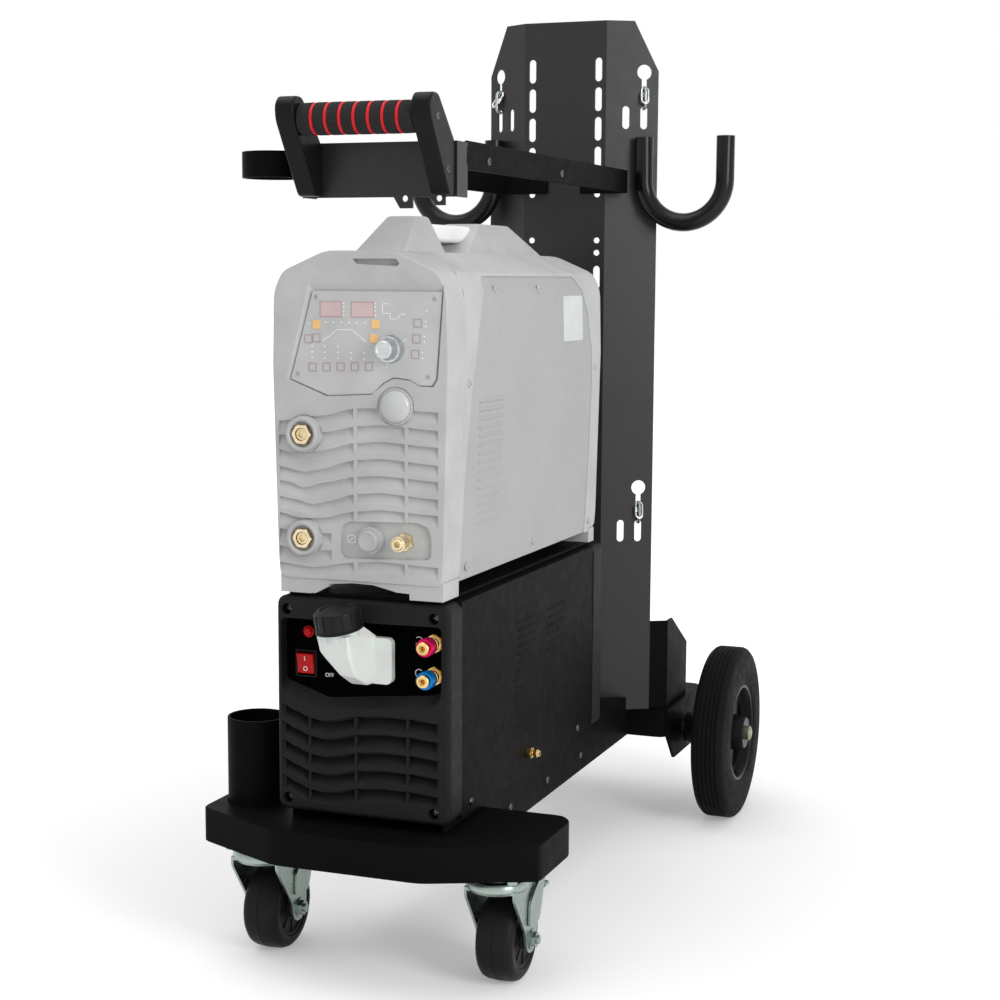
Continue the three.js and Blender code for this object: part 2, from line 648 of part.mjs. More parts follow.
// Filler: a moulded elbow that comes out of the recess and turns up to its screw cap.
const fillerTilt = THREE.MathUtils.degToRad(10);
const capAxis = new THREE.Vector3(-0.1, -Math.sin(fillerTilt), Math.cos(fillerTilt)).normalize();
const capBase = new THREE.Vector3(-11, -33, coolerTop - 27);
const capU = new THREE.Vector3(1, 0, 0).cross(capAxis).normalize();
const capV = capAxis.clone().cross(capU).normalize();
const elbow = [];
for (let i = 0; i < 20; i += 1) {
  const a = (i / 20) * Math.PI * 2;
  const p = capBase.clone().addScaledVector(capU, 21 * Math.cos(a)).addScaledVector(capV, 21 * Math.sin(a));
  elbow.push(p);
}
[[-22, 58], [14, 94], [14, 42], [-16, 50]].forEach(([x, down]) => {
  elbow.push(new THREE.Vector3(x, recessFloor - GAP, coolerTop - down + (x < 0 ? 0 : 2)));
});
elbow.push(new THREE.Vector3(14, -8, coolerTop - 92), new THREE.Vector3(-9, -30, coolerTop - 78));
elbow.push(new THREE.Vector3(-28, -38, coolerTop - 50));
put('filler_elbow', join(
  toSolid(new ConvexGeometry(elbow)),
  box(8, 32, recessFloor - 9, recessFloor - GAP, coolerTop - 92, coolerTop - 40),
), { color: 0xe9e8e2, roughness: 0.4, metalness: 0 });
const capLow = capBase.clone().addScaledVector(capAxis, GAP);
const capGeometry = new THREE.CylinderGeometry(26, 27, 24, 28);
capGeometry.translate(0, 12, 0);
capGeometry.applyQuaternion(new THREE.Quaternion().setFromUnitVectors(new THREE.Vector3(0, 1, 0), capAxis));
capGeometry.translate(capLow.x, capLow.y, capLow.z);
put('filler_cap', toSolid(capGeometry), blackPlastic);

put('cooler_switch', prism('x', rounded([
  [recessFloor - 4, switchZ - 11.4], [recessFloor + 2, switchZ - 11.4], [recessFloor + 3, switchZ],
  [recessFloor + 2, switchZ + 11.4], [recessFloor - 7, switchZ + 11.4], [recessFloor - 4, switchZ],
].reverse(), 1, 1), switchX - 10, switchX + 10), { color: 0xd8121b, roughness: 0.3, metalness: 0 });
put('cooler_lamp', rod('y', 6.5, recessFloor - 6, recessFloor - GAP, -71, coolerTop - 41.6, 20), {
  color: 0xb31218, roughness: 0.25, metalness: 0,
});
const couplings = [['supply', coolerTop - 42.6, 0xc01a36], ['return', coolerTop - 78.6, 0x1d5fae]];
couplings.forEach(([name, z, colour]) => {
  put(`coupling_${name}`, join(
    rod('y', 11, 4, recessFloor - GAP, 84, z, 6),
    rod('y', 8, -4, 5, 84, z, 20),
    rod('y', 6, -28, -3, 84, z, 20),
  ), brass);
  put(`sleeve_${name}`, cut(
    rod('y', 10, -23, -9, 84, z, 24),
    rod('y', 6 + GAP, -30, 0, 84, z, 24),
  ), { color: colour, roughness: 0.35, metalness: 0.5 });
});
put('drain_fitting', join(
  rod('x', 7, COOLER_HALF - 1 + GAP, COOLER_HALF + 5, 252, COOLER_LOW + 24, 6),
  rod('x', 4.5, COOLER_HALF + 4, COOLER_HALF + 14, 252, COOLER_LOW + 24, 16),
), brass);

// ---- welding power source -----------------------------------------------------------------------
const weldLow = coolerTop + STACK_PLATE + GAP;
const weldTop = weldLow + WELDER_TALL;
const shellOutline = (grow) => [
  [-97 - grow, weldLow + 16], [97 + grow, weldLow + 16], [99 + grow, weldLow + 40],
  [WELDER_HALF + grow, weldLow + 250], [WELDER_HALF - 2 + grow, weldTop - 44],
  [92 + grow, weldTop - 22 + grow], [40, weldTop + grow], [-40, weldTop + grow],
  [-92 - grow, weldTop - 22 + grow], [2 - WELDER_HALF - grow, weldTop - 44],
  [-WELDER_HALF - grow, weldLow + 250], [-99 - grow, weldLow + 40],
];
const panelOutline = (grow) => [
  [-82 - grow, weldTop - 138], [-37 - grow, weldTop - 155 - grow], [16, weldTop - 152 - grow],
  [28, weldTop - 140 - grow], [40, weldTop - 134 - grow], [58, weldTop - 136 - grow],
  [70, weldTop - 142 - grow], [84 + grow, weldTop - 142 - grow], [89 + grow, weldTop - 134],
  [96 + grow, weldTop - 43 + grow], [-55 - grow, weldTop - 43 + grow],
];
const faceY = -4;
const feet = [[-97, -60], [58, 97]];
function bezel(front, back, hollowFront, hollowBack) {
  let body = slab(rounded(shellOutline(0), 8, 2), front, back);
  feet.forEach(([a, b]) => {
    body = join(body, box(a, b, front + 2, back, weldLow, weldLow + 18));
  });
  return cut(body, slab(shellOutline(-5).map(([x, z]) => [x, Math.max(z, weldLow + 21)]), hollowFront, hollowBack));
}
put('welder_front_bezel', cut(
  bezel(faceY, WELDER_BEZEL, 12, WELDER_BEZEL + 1),
  slab(panelOutline(1.2), faceY - 1, faceY + 4),
  box(-28, 86, faceY - 1, faceY + 4, weldLow + 48, weldLow + 84),
), paleShell);
put('welder_rear_bezel', bezel(WELDER_LONG - 24, WELDER_LONG, WELDER_LONG - 25, WELDER_LONG - 5), paleShell);
const weldCoverFront = WELDER_BEZEL + GAP;
const weldCoverBack = WELDER_LONG - 24 - GAP;
put('welder_cover', cut(
  slab(shellOutline(-1), weldCoverFront, weldCoverBack),
  slab(shellOutline(-3).map(([x, z]) => [x, Math.max(z, weldLow + 18)]), weldCoverFront - 1, weldCoverBack + 1),
), paleShell);
put('welder_control_panel', slab(panelOutline(0), faceY + 1.5, faceY + 3.7), { color: 0xa9abab, roughness: 0.35, metalness: 0 });

const gripLow = weldTop + 12;
const gripTop = weldTop + 33;
const handleTop = weldTop + 40;
function block(half0, half1, y0, y1, y2, y3, top) {
  const points = [];
  [[half0, y0, y1, weldTop - 1 + GAP], [half1, y2, y3, top]].forEach(([half, a, b, z]) => {
    [-half, half].forEach((x) => {
      points.push(new THREE.Vector3(x, a, z), new THREE.Vector3(x, b, z));
    });
  });
  return toSolid(new ConvexGeometry(points));
}
put('welder_handle', join(
  block(31, 19, 50, 166, 112, 143, handleTop),
  block(34, 22, 222, 486, 288, 392, handleTop - 4),
  box(-17, 17, 130, 310, gripLow, gripTop),
), { color: 0xd6d6d6, roughness: 0.45, metalness: 0 });

const knobX = 37;
const knobZ = weldTop - 104;
put('encoder_knob', join(
  rod('y', 15, faceY - 3, faceY + 1.2, knobX, knobZ, 24),
  rod('y', 11, faceY - 20, faceY - 2, knobX, knobZ, 18),
), { color: 0xc9cccc, roughness: 0.3, metalness: 0.6 });

[['upper', weldTop - 198], ['lower', weldTop - 312]].forEach(([name, z]) => {
  put(`output_socket_${name}`, join(
    cut(rod('y', 20, faceY - 9, faceY - GAP, -66, z, 20), rod('y', 13, faceY - 10, faceY - 4, -66, z, 14)),
    rod('y', 7, faceY - 11, faceY - 3, -66, z, 16),
  ), brass);
});
put('remote_socket', join(
  rod('y', 15, faceY - 3, faceY + 4 - GAP, 13, weldTop - 311, 24),
  rod('y', 12, faceY - 10, faceY, 13, weldTop - 311, 24),
), blackPlastic);
put('gas_outlet', join(
  rod('y', 10, faceY - 2, faceY + 4 - GAP, 53, weldTop - 311, 6),
  rod('y', 6.5, faceY - 20, faceY, 53, weldTop - 311, 20),
), brass);
const domeFace = faceY - GAP;
put('welder_dome', cut(
  toSolid(new THREE.SphereGeometry(27, 20, 12).translate(43, domeFace + 18, weldTop - 165)),
  box(0, 90, domeFace, domeFace + 60, weldTop - 200, weldTop - 130),
), paleShell);

const rearFace = WELDER_LONG + GAP;
put('mains_switch', join(
  rod('y', 14, rearFace, rearFace + 4, -50, weldTop - 110, 24),
  box(-54, -46, rearFace + 3, rearFace + 14, weldTop - 123, weldTop - 97),
), blackPlastic);
put('mains_gland', join(
  rod('y', 14, rearFace, rearFace + 8, 40, weldTop - 250, 6),
  rod('y', 10, rearFace + 7, rearFace + 24, 40, weldTop - 250, 20),
), blackPlastic);

// ---- origin: middle of the footprint, on the floor ------------------------------------------
const bounds = new THREE.Box3().setFromObject(group);
const middle = bounds.getCenter(new THREE.Vector3());
group.children.forEach((mesh) => {
  mesh.geometry.translate(-middle.x, -middle.y, -bounds.min.z);
});

export default group;
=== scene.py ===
from math import atan2, cos, pi as PI, radians, sin

import bmesh
import bpy
from bpy.props import FloatProperty, FloatVectorProperty, IntProperty, PointerProperty
from mathutils import Matrix, Vector


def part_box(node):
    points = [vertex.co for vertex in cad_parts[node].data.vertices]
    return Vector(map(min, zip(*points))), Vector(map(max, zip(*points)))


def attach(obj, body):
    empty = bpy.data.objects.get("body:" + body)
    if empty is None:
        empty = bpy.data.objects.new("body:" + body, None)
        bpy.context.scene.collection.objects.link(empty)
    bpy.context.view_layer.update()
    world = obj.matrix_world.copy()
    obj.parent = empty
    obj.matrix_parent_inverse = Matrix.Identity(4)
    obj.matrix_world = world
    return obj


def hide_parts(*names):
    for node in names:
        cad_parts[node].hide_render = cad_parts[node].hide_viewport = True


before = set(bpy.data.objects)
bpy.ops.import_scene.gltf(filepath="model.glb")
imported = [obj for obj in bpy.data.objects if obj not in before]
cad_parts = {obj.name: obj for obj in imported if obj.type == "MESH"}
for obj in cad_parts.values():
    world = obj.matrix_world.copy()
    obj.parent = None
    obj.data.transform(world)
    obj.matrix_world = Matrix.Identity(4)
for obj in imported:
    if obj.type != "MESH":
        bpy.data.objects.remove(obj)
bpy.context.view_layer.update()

bl_info = {
    "name": "Welding Trolley",
    "version": (1, 0, 0),
    "blender": (4, 5, 0),
    "location": "View3D > Sidebar > Trolley",
    "description": "Welding trolley with bottle column, water cooler and inverter power source",
    "category": "Add Mesh",
}

# Shapes are made in millimetres, with Y = 0 at the front of the cooler, and then placed in the frame.
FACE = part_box("cooler_front_bezel")[0].y
TO_FRAME = Matrix.Translation((0, FACE, 0)) @ Matrix.Scale(0.001, 4)
FROM_FRAME = TO_FRAME.inverted()
AXES = {"x": Vector((1, 0, 0)), "y": Vector((0, 1, 0)), "z": Vector((0, 0, 1))}
SIDES = (("left", -1), ("right", 1))


def span(node):
    """Lowest and highest corner of a frame piece, in millimetres."""
    low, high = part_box(node)
    return FROM_FRAME @ low, FROM_FRAME @ high


def middle(low, high, axes="xz"):
    """Middle of a box along some of its axes."""
    return [(getattr(low, axis) + getattr(high, axis)) / 2 for axis in axes]


DECK_TOP = span("deck_pan")[1].z
COOLER_TOP = span("cooler_front_bezel")[1].z
COOLER_SIDE = span("cooler_cover")[1].x
COOLER_BACK = span("cooler_rear_bezel")[1].y
WELDER_LOW = span("welder_front_bezel")[0].z
WELDER_TOP = span("welder_front_bezel")[1].z
WELDER_FACE = span("welder_front_bezel")[0].y
WELDER_SIDE = span("welder_cover")[1].x
WELDER_BACK = span("welder_rear_bezel")[1].y
RECESS = 14.0           # depth of the cooler's recess
PANEL_FACE = RECESS - 0.3
WALL = 4.0              # thickness of a moulded end
CAP_FOOT = Vector((-11, -33, COOLER_TOP - 27))      # where the filler cap meets its neck
ROCKER_HOLE = ((-84.8, 342.2), (-63.2, 370.6))      # lower and upper corner, as (x, z)


# ---- sizes and colours a user would change -------------------------------------------------------
def colour(name, description, default):
    return FloatVectorProperty(name=name, description=description, default=default,
                               subtype="COLOR", size=3, min=0, max=1)


def length(name, description, default, low=0.0, high=50.0):
    return FloatProperty(name=name, description=description + ", in millimetres", default=default,
                         min=low, max=high)


class TrolleySettings(bpy.types.PropertyGroup):
    powder: colour("Powder coat", "Colour of the coated steel", (0.0052, 0.0049, 0.0050))
    foam: colour("Foam", "Colour of the grip foam", (0.020, 0.019, 0.019))
    rings: colour("Grip rings", "Colour of the bands in the grip", (0.62, 0.008, 0.018))
    zinc: colour("Zinc", "Colour of the caster plating", (0.27, 0.34, 0.33))
    yellow_zinc: colour("Yellow zinc", "Colour of the axle plating", (0.30, 0.28, 0.17))
    rubber: colour("Rubber", "Colour of the caster tread", (0.012, 0.012, 0.012))
    tyre: colour("Tyre", "Colour of the rear tyres", (0.0095, 0.0087, 0.0084))
    fold: length("Sheet edge", "Rounding of a sheet edge", 0.7, 0.1, 1.4)
    groove: length("Tread groove", "Depth of a groove in the rear tyre", 1.6, 0.0, 3.0)
    ring_width: length("Ring width", "Width of a band in the grip", 3.8, 1.0, 6.0)
    flutes: IntProperty(name="Cap flutes", description="Ribs round the filler cap", default=14,
                        min=4, max=40)


class CoolerSettings(bpy.types.PropertyGroup):
    plastic: colour("Plastic", "Colour of the cooler's moulded ends", (0.0075, 0.0075, 0.0077))
    tank: colour("Filler", "Colour of the tank's neck", (0.80, 0.83, 0.80))
    rocker: colour("Rocker", "Colour of the switch and lamp", (0.62, 0.004, 0.006))
    supply: colour("Supply sleeve", "Colour of the warm coupling", (0.55, 0.01, 0.09))
    back: colour("Return sleeve", "Colour of the cold coupling", (0.01, 0.17, 0.48))
    brass: colour("Brass", "Colour of the couplings", (0.78, 0.53, 0.21))
    slot_depth: length("Slot depth", "Depth of the front louvres", 11.0, 4.0, 14.0)


class WelderSettings(bpy.types.PropertyGroup):
    shell: colour("Shell", "Colour of the moulded ends", (0.485, 0.49, 0.49))
    cover: colour("Cover", "Colour of the side sheet", (0.40, 0.40, 0.40))
    bar: colour("Carry bar", "Colour of the carrying bar", (0.95, 0.94, 0.95))
    panel: colour("Panel", "Colour of the control panel film", (0.52, 0.52, 0.52))
    window: colour("Window", "Colour of the two read-outs", (0.63, 0.47, 0.48))
    button: colour("Button", "Colour of the three lit keys", (0.90, 0.56, 0.22))
    outline: colour("Outline", "Colour of the key outlines", (0.45, 0.33, 0.33))
    print_white: colour("Print", "Colour of the printed marks", (0.86, 0.87, 0.87))
    brass: colour("Brass", "Colour of the sockets", (0.80, 0.67, 0.44))
    slot_depth: length("Slot depth", "Depth of the front louvres", 3.6, 1.0, 8.0)


class StageSettings(bpy.types.PropertyGroup):
    floor: colour("Floor", "Colour of the floor", (0.86, 0.86, 0.86))
    fill: FloatProperty(name="Fill", description="Light from all round", default=0.62, min=0)
    key: FloatProperty(name="Key", description="Power of the large lamp", default=46.0, min=0,
                       subtype="POWER")
    lens: FloatProperty(name="Lens", description="Focal length of the camera", default=67.46,
                        min=10, subtype="DISTANCE_CAMERA")


# ---- mesh helpers --------------------------------------------------------------------------------
def rounded(points, radius, steps=5):
    """An outline with its corners turned into short arcs."""
    out = []
    for i, corner in enumerate(points):
        corner = Vector(corner)
        before = Vector(points[i - 1]) - corner
        after = Vector(points[(i + 1) % len(points)]) - corner
        r = min(radius, before.length / 2.1, after.length / 2.1)
        a, b = corner + before.normalized() * r, corner + after.normalized() * r
        for s in range(steps + 1):
            t = s / steps
            out.append(a * (1 - t) ** 2 + corner * (2 * t * (1 - t)) + b * t * t)
    return out


def oblong(x0, z0, x1, z1, radius, steps):
    """Outline of a plate with rounded corners."""
    return rounded([(x0, z0), (x1, z0), (x1, z1), (x0, z1)], radius, steps)


def slot_outline(x, low, high, radius):
    """An upright slot with round ends."""
    turns = [PI * i / 10 for i in range(11)]
    upper = [(x + radius * cos(a), high - radius + radius * sin(a)) for a in turns]
    return upper + [(x - radius * cos(a), low + radius - radius * sin(a)) for a in turns]


def lift(axis, u, v, along):
    """A point from its two coordinates across an axis and the one along it."""
    return {"x": (along, u, v), "y": (u, along, v), "z": (u, v, along)}[axis]


def add_box(bm, low, high, turn=None):
    low, high = Vector(low), Vector(high)
    place = Matrix.Translation((low + high) / 2)
    return add_block(bm, place @ (turn or Matrix()), high - low)


def add_rod(bm, axis, radius, a, b, u, v, sides=32, end=None):
    """A round bar, or a cone when the end radius differs, from a to b along an axis."""
    turn = {"x": Matrix.Rotation(PI / 2, 4, "Y"), "y": Matrix.Rotation(-PI / 2, 4, "X"),
            "z": Matrix()}[axis]
    place = Matrix.Translation(lift(axis, u, v, (a + b) / 2))
    return bmesh.ops.create_cone(bm, cap_ends=True, segments=sides, radius1=radius,
                                 radius2=radius if end is None else end, depth=b - a,
                                 matrix=place @ turn)["verts"]


def add_prism(bm, axis, points, a, b):
    """An outline across an axis, pushed out from a to b along it."""
    verts = [bm.verts.new(lift(axis, u, v, a)) for u, v in points]
    face = bm.faces.new(verts)
    new = corners_of(bmesh.ops.extrude_face_region(bm, geom=[face]))
    bmesh.ops.translate(bm, verts=new, vec=Vector(lift(axis, 0, 0, b - a)))
    made = verts + new
    faces = {f for v in made for f in v.link_faces}
    bmesh.ops.recalc_face_normals(bm, faces=list(faces))
    return made


def new_object(name, data):
    obj = bpy.data.objects.new(name, data)
    bpy.context.scene.collection.objects.link(obj)
    return obj


def add_block(bm, place, size):
    """A box with its middle at a placing matrix."""
    return bmesh.ops.create_cube(bm, size=1, matrix=place @ Matrix.Diagonal((*size, 1)))["verts"]


def corners_of(grown):
    """The vertices in what an extrusion made."""
    return [g for g in grown["geom"] if isinstance(g, bmesh.types.BMVert)]


def weld(bm, gap):
    bmesh.ops.remove_doubles(bm, verts=bm.verts, dist=gap)


def flatten(bm, degrees):
    """Joins faces that lie in one plane."""
    bmesh.ops.dissolve_limit(bm, angle_limit=radians(degrees), verts=bm.verts, edges=bm.edges)


def absorb(bm, part):
    """Adds a finished part to a shape."""
    bmesh.ops.recalc_face_normals(part, faces=part.faces)
    mesh = bpy.data.meshes.new("part")
    part.to_mesh(mesh)
    part.free()
    bm.from_mesh(mesh)
    bpy.data.meshes.remove(mesh)


def add_turned(bm, axis, profile, u=0.0, v=0.0, steps=48):
    """A profile of (along, radius) points spun round an axis that passes through u, v.

    The profile starts and ends on the axis, or else it closes on itself.
    """
    closed = bool(profile[0][1] or profile[-1][1])
    side = {"x": Vector((0, 1, 0)), "y": Vector((0, 0, 1)), "z": Vector((1, 0, 0))}[axis]
    centre = Vector(lift(axis, u, v, 0))
    part = bmesh.new()
    verts = [part.verts.new(centre + AXES[axis] * at + side * r) for at, r in profile]
    pairs = list(zip(verts, verts[1:])) + ([(verts[-1], verts[0])] if closed else [])
    edges = [part.edges.new(pair) for pair in pairs]
    bmesh.ops.spin(part, geom=verts + edges, cent=centre, axis=AXES[axis], dvec=(0, 0, 0),
                   angle=2 * PI, steps=steps, use_merge=True, use_duplicate=False)
    weld(part, 1e-4)
    absorb(bm, part)


def turned(axis, profile, u=0.0, v=0.0, steps=48):
    """A shape of its own, spun from a profile."""
    bm = bmesh.new()
    add_turned(bm, axis, profile, u, v, steps)
    return bm


def sharp_edges(bm, angle=30.0, pick=None):
    return [e for e in bm.edges if e.is_manifold and e.calc_face_angle(0) > radians(angle)
            and (pick is None or pick(e))]


def bevel(bm, edges, width, segments, clamp=True):
    bmesh.ops.bevel(bm, geom=edges, offset=width, offset_type="OFFSET", affect="EDGES",
                    segments=segments, profile=0.5, clamp_overlap=clamp, material=-1)


def ease(bm, width, segments=2, angle=30.0, pick=None):
    """Rounds the sharp edges of a shape."""
    flatten(bm, 0.4)
    edges = sharp_edges(bm, angle, pick)
    if edges:
        bevel(bm, edges, width, segments)


def copy_of(node):
    """A frame piece's mesh in millimetres, its triangles joined into whole flat faces again."""
    bm = bmesh.new()
    bm.from_mesh(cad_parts[node].data)
    bm.transform(FROM_FRAME)
    weld(bm, 0.005)
    bmesh.ops.dissolve_degenerate(bm, edges=bm.edges, dist=0.005)
    flatten(bm, 0.8)
    return bm


def carve(bm, tools, mode="DIFFERENCE"):
    """Cuts the tool shapes out of a shape, or joins them to it."""
    objects = []
    for shape in (bm, tools):
        bmesh.ops.recalc_face_normals(shape, faces=shape.faces)
        bmesh.ops.triangulate(shape, faces=shape.faces)
        mesh = bpy.data.meshes.new("carving")
        shape.to_mesh(mesh)
        shape.free()
        objects.append(new_object("carving", mesh))
    body, tool = objects
    change = body.modifiers.new("carve", "BOOLEAN")
    change.operation, change.solver, change.object = mode, "MANIFOLD", tool
    cut = body.evaluated_get(bpy.context.evaluated_depsgraph_get()).to_mesh()
    if not cut.polygons:
        raise RuntimeError("a cut removed the whole piece")
    out = bmesh.new()
    out.from_mesh(cut)
    for one in objects:
        mesh = one.data
        bpy.data.objects.remove(one)
        bpy.data.meshes.remove(mesh)
    weld(out, 0.002)
    return out


def piece(bm, name, material, body="trolley", replaces=(), smooth=32.0, weighted=True):
    """Makes the shape an object of the scene that moves with a body of the frame."""
    bmesh.ops.recalc_face_normals(bm, faces=bm.faces)
    for face in bm.faces:
        face.smooth = True
    limit = radians(smooth)
    for edge in bm.edges:
        edge.smooth = edge.is_manifold and edge.calc_face_angle(0) < limit
    bm.transform(TO_FRAME)
    mesh = bpy.data.meshes.new(name)
    bm.to_mesh(mesh)
    bm.free()
    mesh.materials.append(material)
    obj = new_object(name, mesh)
    if weighted:
        weight = obj.modifiers.new("normals", "WEIGHTED_NORMAL")
        weight.keep_sharp = True
    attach(obj, body)
    if replaces:
        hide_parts(*replaces)
    return obj


def softened(node, width, material, body="trolley", segments=2, tools=None, smooth=32.0,
             angle=30.0):
    """A frame piece with eased edges, and with the tool shapes cut from it."""
    bm = copy_of(node)
    if width:
        ease(bm, width, segments, angle)
    if tools is not None:
        bm = carve(bm, tools)
    return remade(bm, node, material, body, smooth)


def remade(bm, node, material, body="trolley", smooth=32.0):
    """The finer piece that stands for a frame piece."""
    return piece(bm, "fine_" + node, material, body, [node], smooth)


def dress(node, material):
    """Gives a frame piece that stays as it is a better material."""
    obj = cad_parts[node]
    if not obj.data.materials:
        obj.data.materials.append(material)
    for one in obj.material_slots:
        one.material = material


def along(points, x):
    """Height of a smooth line through (x, height) points."""
    if x <= points[0][0]:
        return points[0][1]
    for (x0, z0), (x1, z1) in zip(points, points[1:]):
        if x <= x1:
            t = (x - x0) / (x1 - x0)
            t = t * t * (3 - 2 * t) * 0.6 + t * 0.4
            return z0 + (z1 - z0) * t
    return points[-1][1]


def add_slot(bm, line, x0, x1, front, depth, tall, roof=2.5, floor=0.8):
    """A louvre's opening: deep under its upper edge and running out to the face below."""
    section = [(front - 2, 0.0), (front + depth, -roof * 0.3), (front + depth, -roof),
               (front + floor, -tall), (front - 2, -tall)]
    part = bmesh.new()
    add_prism(part, "x", section, x0, x1)
    longs = [e for e in part.edges if abs(e.verts[0].co.x - e.verts[1].co.x) > (x1 - x0) * 0.9]
    bmesh.ops.subdivide_edges(part, edges=longs, cuts=max(3, int((x1 - x0) / 7)), use_grid_fill=True)
    for w in part.verts:
        w.co.z += along(line, w.co.x)
    absorb(bm, part)


def add_wire(bm, points, radius, sides=12, closed=False):
    """A round wire that follows a path."""
    path = [Vector(point) for point in points]
    if closed:
        path = path + path[:1]
    ways = [(b - a).normalized() for a, b in zip(path, path[1:])]
    if closed:
        bends = [(ways[i - 1] + way).normalized() for i, way in enumerate(ways)]
        bends.append(bends[0])
    else:
        bends = [ways[0]] + [(a + b).normalized() for a, b in zip(ways, ways[1:])] + [ways[-1]]
    turn = bends[0].to_track_quat("Z", "Y")
    places = [Matrix.Translation(path[0]) @ turn.to_matrix().to_4x4()]
    for old, new, point in zip(bends, bends[1:], path[1:]):
        turn = old.rotation_difference(new) @ turn
        places.append(Matrix.Translation(point) @ turn.to_matrix().to_4x4())
    part = bmesh.new()
    ring = bmesh.ops.create_circle(part, segments=sides, radius=radius, cap_ends=not closed,
                                   matrix=places[0])["verts"]
    edges = list({e for w in ring for e in w.link_edges})
    for old, new in zip(places, places[1:]):
        verts = corners_of(bmesh.ops.extrude_edge_only(part, edges=edges))
        edges = [e for e in {e for w in verts for e in w.link_edges}
                 if e.verts[0] in verts and e.verts[1] in verts]
        bmesh.ops.transform(part, matrix=new @ old.inverted(), verts=verts)
    if closed:
        weld(part, radius * 0.2)
    else:
        bmesh.ops.edgeloop_fill(part, edges=edges)
    absorb(bm, part)


def half_ring(centre, radius, u, v, start, steps):
    """Points on half a circle, from one end to the other."""
    turn = [start + PI * i / steps for i in range(steps + 1)]
    return [Vector(centre) + Vector(u) * radius * cos(a) + Vector(v) * radius * sin(a)
            for a in turn]


def bead(bm, start, end, radius, count, squash=(1, 1, 1)):
    """A weld bead: a row of small overlapping drops."""
    for i in range(count):
        t = i / max(1, count - 1)
        at = Vector(start).lerp(Vector(end), t)
        at += Vector((sin(i * 2.4), cos(i * 1.7), sin(i * 3.1))) * radius * 0.12
        size = Matrix.Diagonal((*(Vector(squash) * radius * (1 + 0.12 * sin(i * 5.3))), 1))
        bmesh.ops.create_icosphere(bm, subdivisions=2, radius=1,
                                   matrix=Matrix.Translation(at) @ size)


# ---- finishes ------------------------------------------------------------------------------------
class Finish:
    """A material being built, with its shader and the object's own coordinates."""

    def __init__(self, name, roughness, metallic=0.0, specular=0.5):
        self.material = bpy.data.materials.new(name)
        self.material.use_nodes = True
        self.nodes, self.links = self.material.node_tree.nodes, self.material.node_tree.links
        self.shader = self.nodes["Principled BSDF"]
        for socket, value in (("Roughness", roughness), ("Metallic", metallic),
                              ("Specular IOR Level", specular)):
            self.shader.inputs[socket].default_value = value
        self.where = self.nodes.new("ShaderNodeTexCoord").outputs["Object"]

    def stretched(self, scale):
        """The object's coordinates, scaled differently along each axis."""
        node = self.nodes.new("ShaderNodeMapping")
        node.inputs["Scale"].default_value = scale
        self.links.new(self.where, node.inputs["Vector"])
        return node.outputs["Vector"]

    def noise(self, scale, detail=2.0, rough=0.5, where=None):
        node = self.nodes.new("ShaderNodeTexNoise")
        node.inputs["Scale"].default_value = scale
        node.inputs["Detail"].default_value = detail
        node.inputs["Roughness"].default_value = rough
        self.links.new(where or self.where, node.inputs["Vector"])
        return node.outputs["Fac"]

    def spread(self, value, low, high, start=0.3, end=0.7):
        """A value from low to high as the pattern goes from start to end."""
        node = self.nodes.new("ShaderNodeMapRange")
        for socket, number in zip(("From Min", "From Max", "To Min", "To Max"),
                                  (start, end, low, high)):
            node.inputs[socket].default_value = number
        self.links.new(value, node.inputs["Value"])
        return node.outputs["Result"]

    def mixed(self, amount, one, other):
        """A colour between two, each a plain colour or another node's."""
        node = self.nodes.new("ShaderNodeMix")
        node.data_type = "RGBA"
        self.links.new(amount, node.inputs["Factor"])
        for socket, value in ((node.inputs[6], one), (node.inputs[7], other)):
            if isinstance(value, bpy.types.NodeSocket):
                self.links.new(value, socket)
            else:
                socket.default_value = (*value, 1)
        return node.outputs[2]

    def colour(self, value):
        self.links.new(value, self.shader.inputs["Base Color"])

    def gloss(self, value):
        self.links.new(value, self.shader.inputs["Roughness"])

    def relief(self, height, strength, distance):
        """Bump whose heights are in metres."""
        node = self.nodes.new("ShaderNodeBump")
        node.inputs["Strength"].default_value = strength
        node.inputs["Distance"].default_value = distance
        self.links.new(height, node.inputs["Height"])
        self.links.new(node.outputs["Normal"], self.shader.inputs["Normal"])


def shade(base, factor):
    return tuple(min(1.0, part * factor) for part in base)


def settings():
    """The scene that carries the sizes and colours."""
    return bpy.context.scene


def made_once(build):
    """Keeps one material for each finish, whichever piece asks for it first."""
    def find():
        name = "fine_" + build.__name__
        return bpy.data.materials.get(name) or build(name)
    return find


def coated_sheet(name, base, low=0.42, high=0.52, specular=0.1):
    """Powder coat: fine orange peel, slight mottle and a few pale rub marks."""
    work = Finish(name, 0.5, specular=specular)
    mottle = work.mixed(work.spread(work.noise(9, 4), 0, 1), shade(base, 0.9), shade(base, 1.12))
    rubs = work.noise(1, 9, 0.62, work.stretched((34, 60, 18)))
    work.colour(work.mixed(work.spread(rubs, 0, 0.05, 0.7, 0.78), mottle, (0.08, 0.08, 0.08)))
    work.gloss(work.spread(work.noise(60, 3), low, high))
    work.relief(work.noise(1100, 2, 0.6), 0.22, 0.0003)
    return work.material


def moulded(name, base, low, high, specular=0.4, grain=0.25, size=1500):
    """Moulded plastic with a spark-eroded grain."""
    work = Finish(name, low, specular=specular)
    work.colour(work.mixed(work.spread(work.noise(22, 4), 0, 1), shade(base, 0.93),
                           shade(base, 1.07)))
    work.gloss(work.spread(work.noise(120, 3), low, high))
    work.relief(work.noise(size, 2, 0.55), grain, 0.0002)
    return work.material


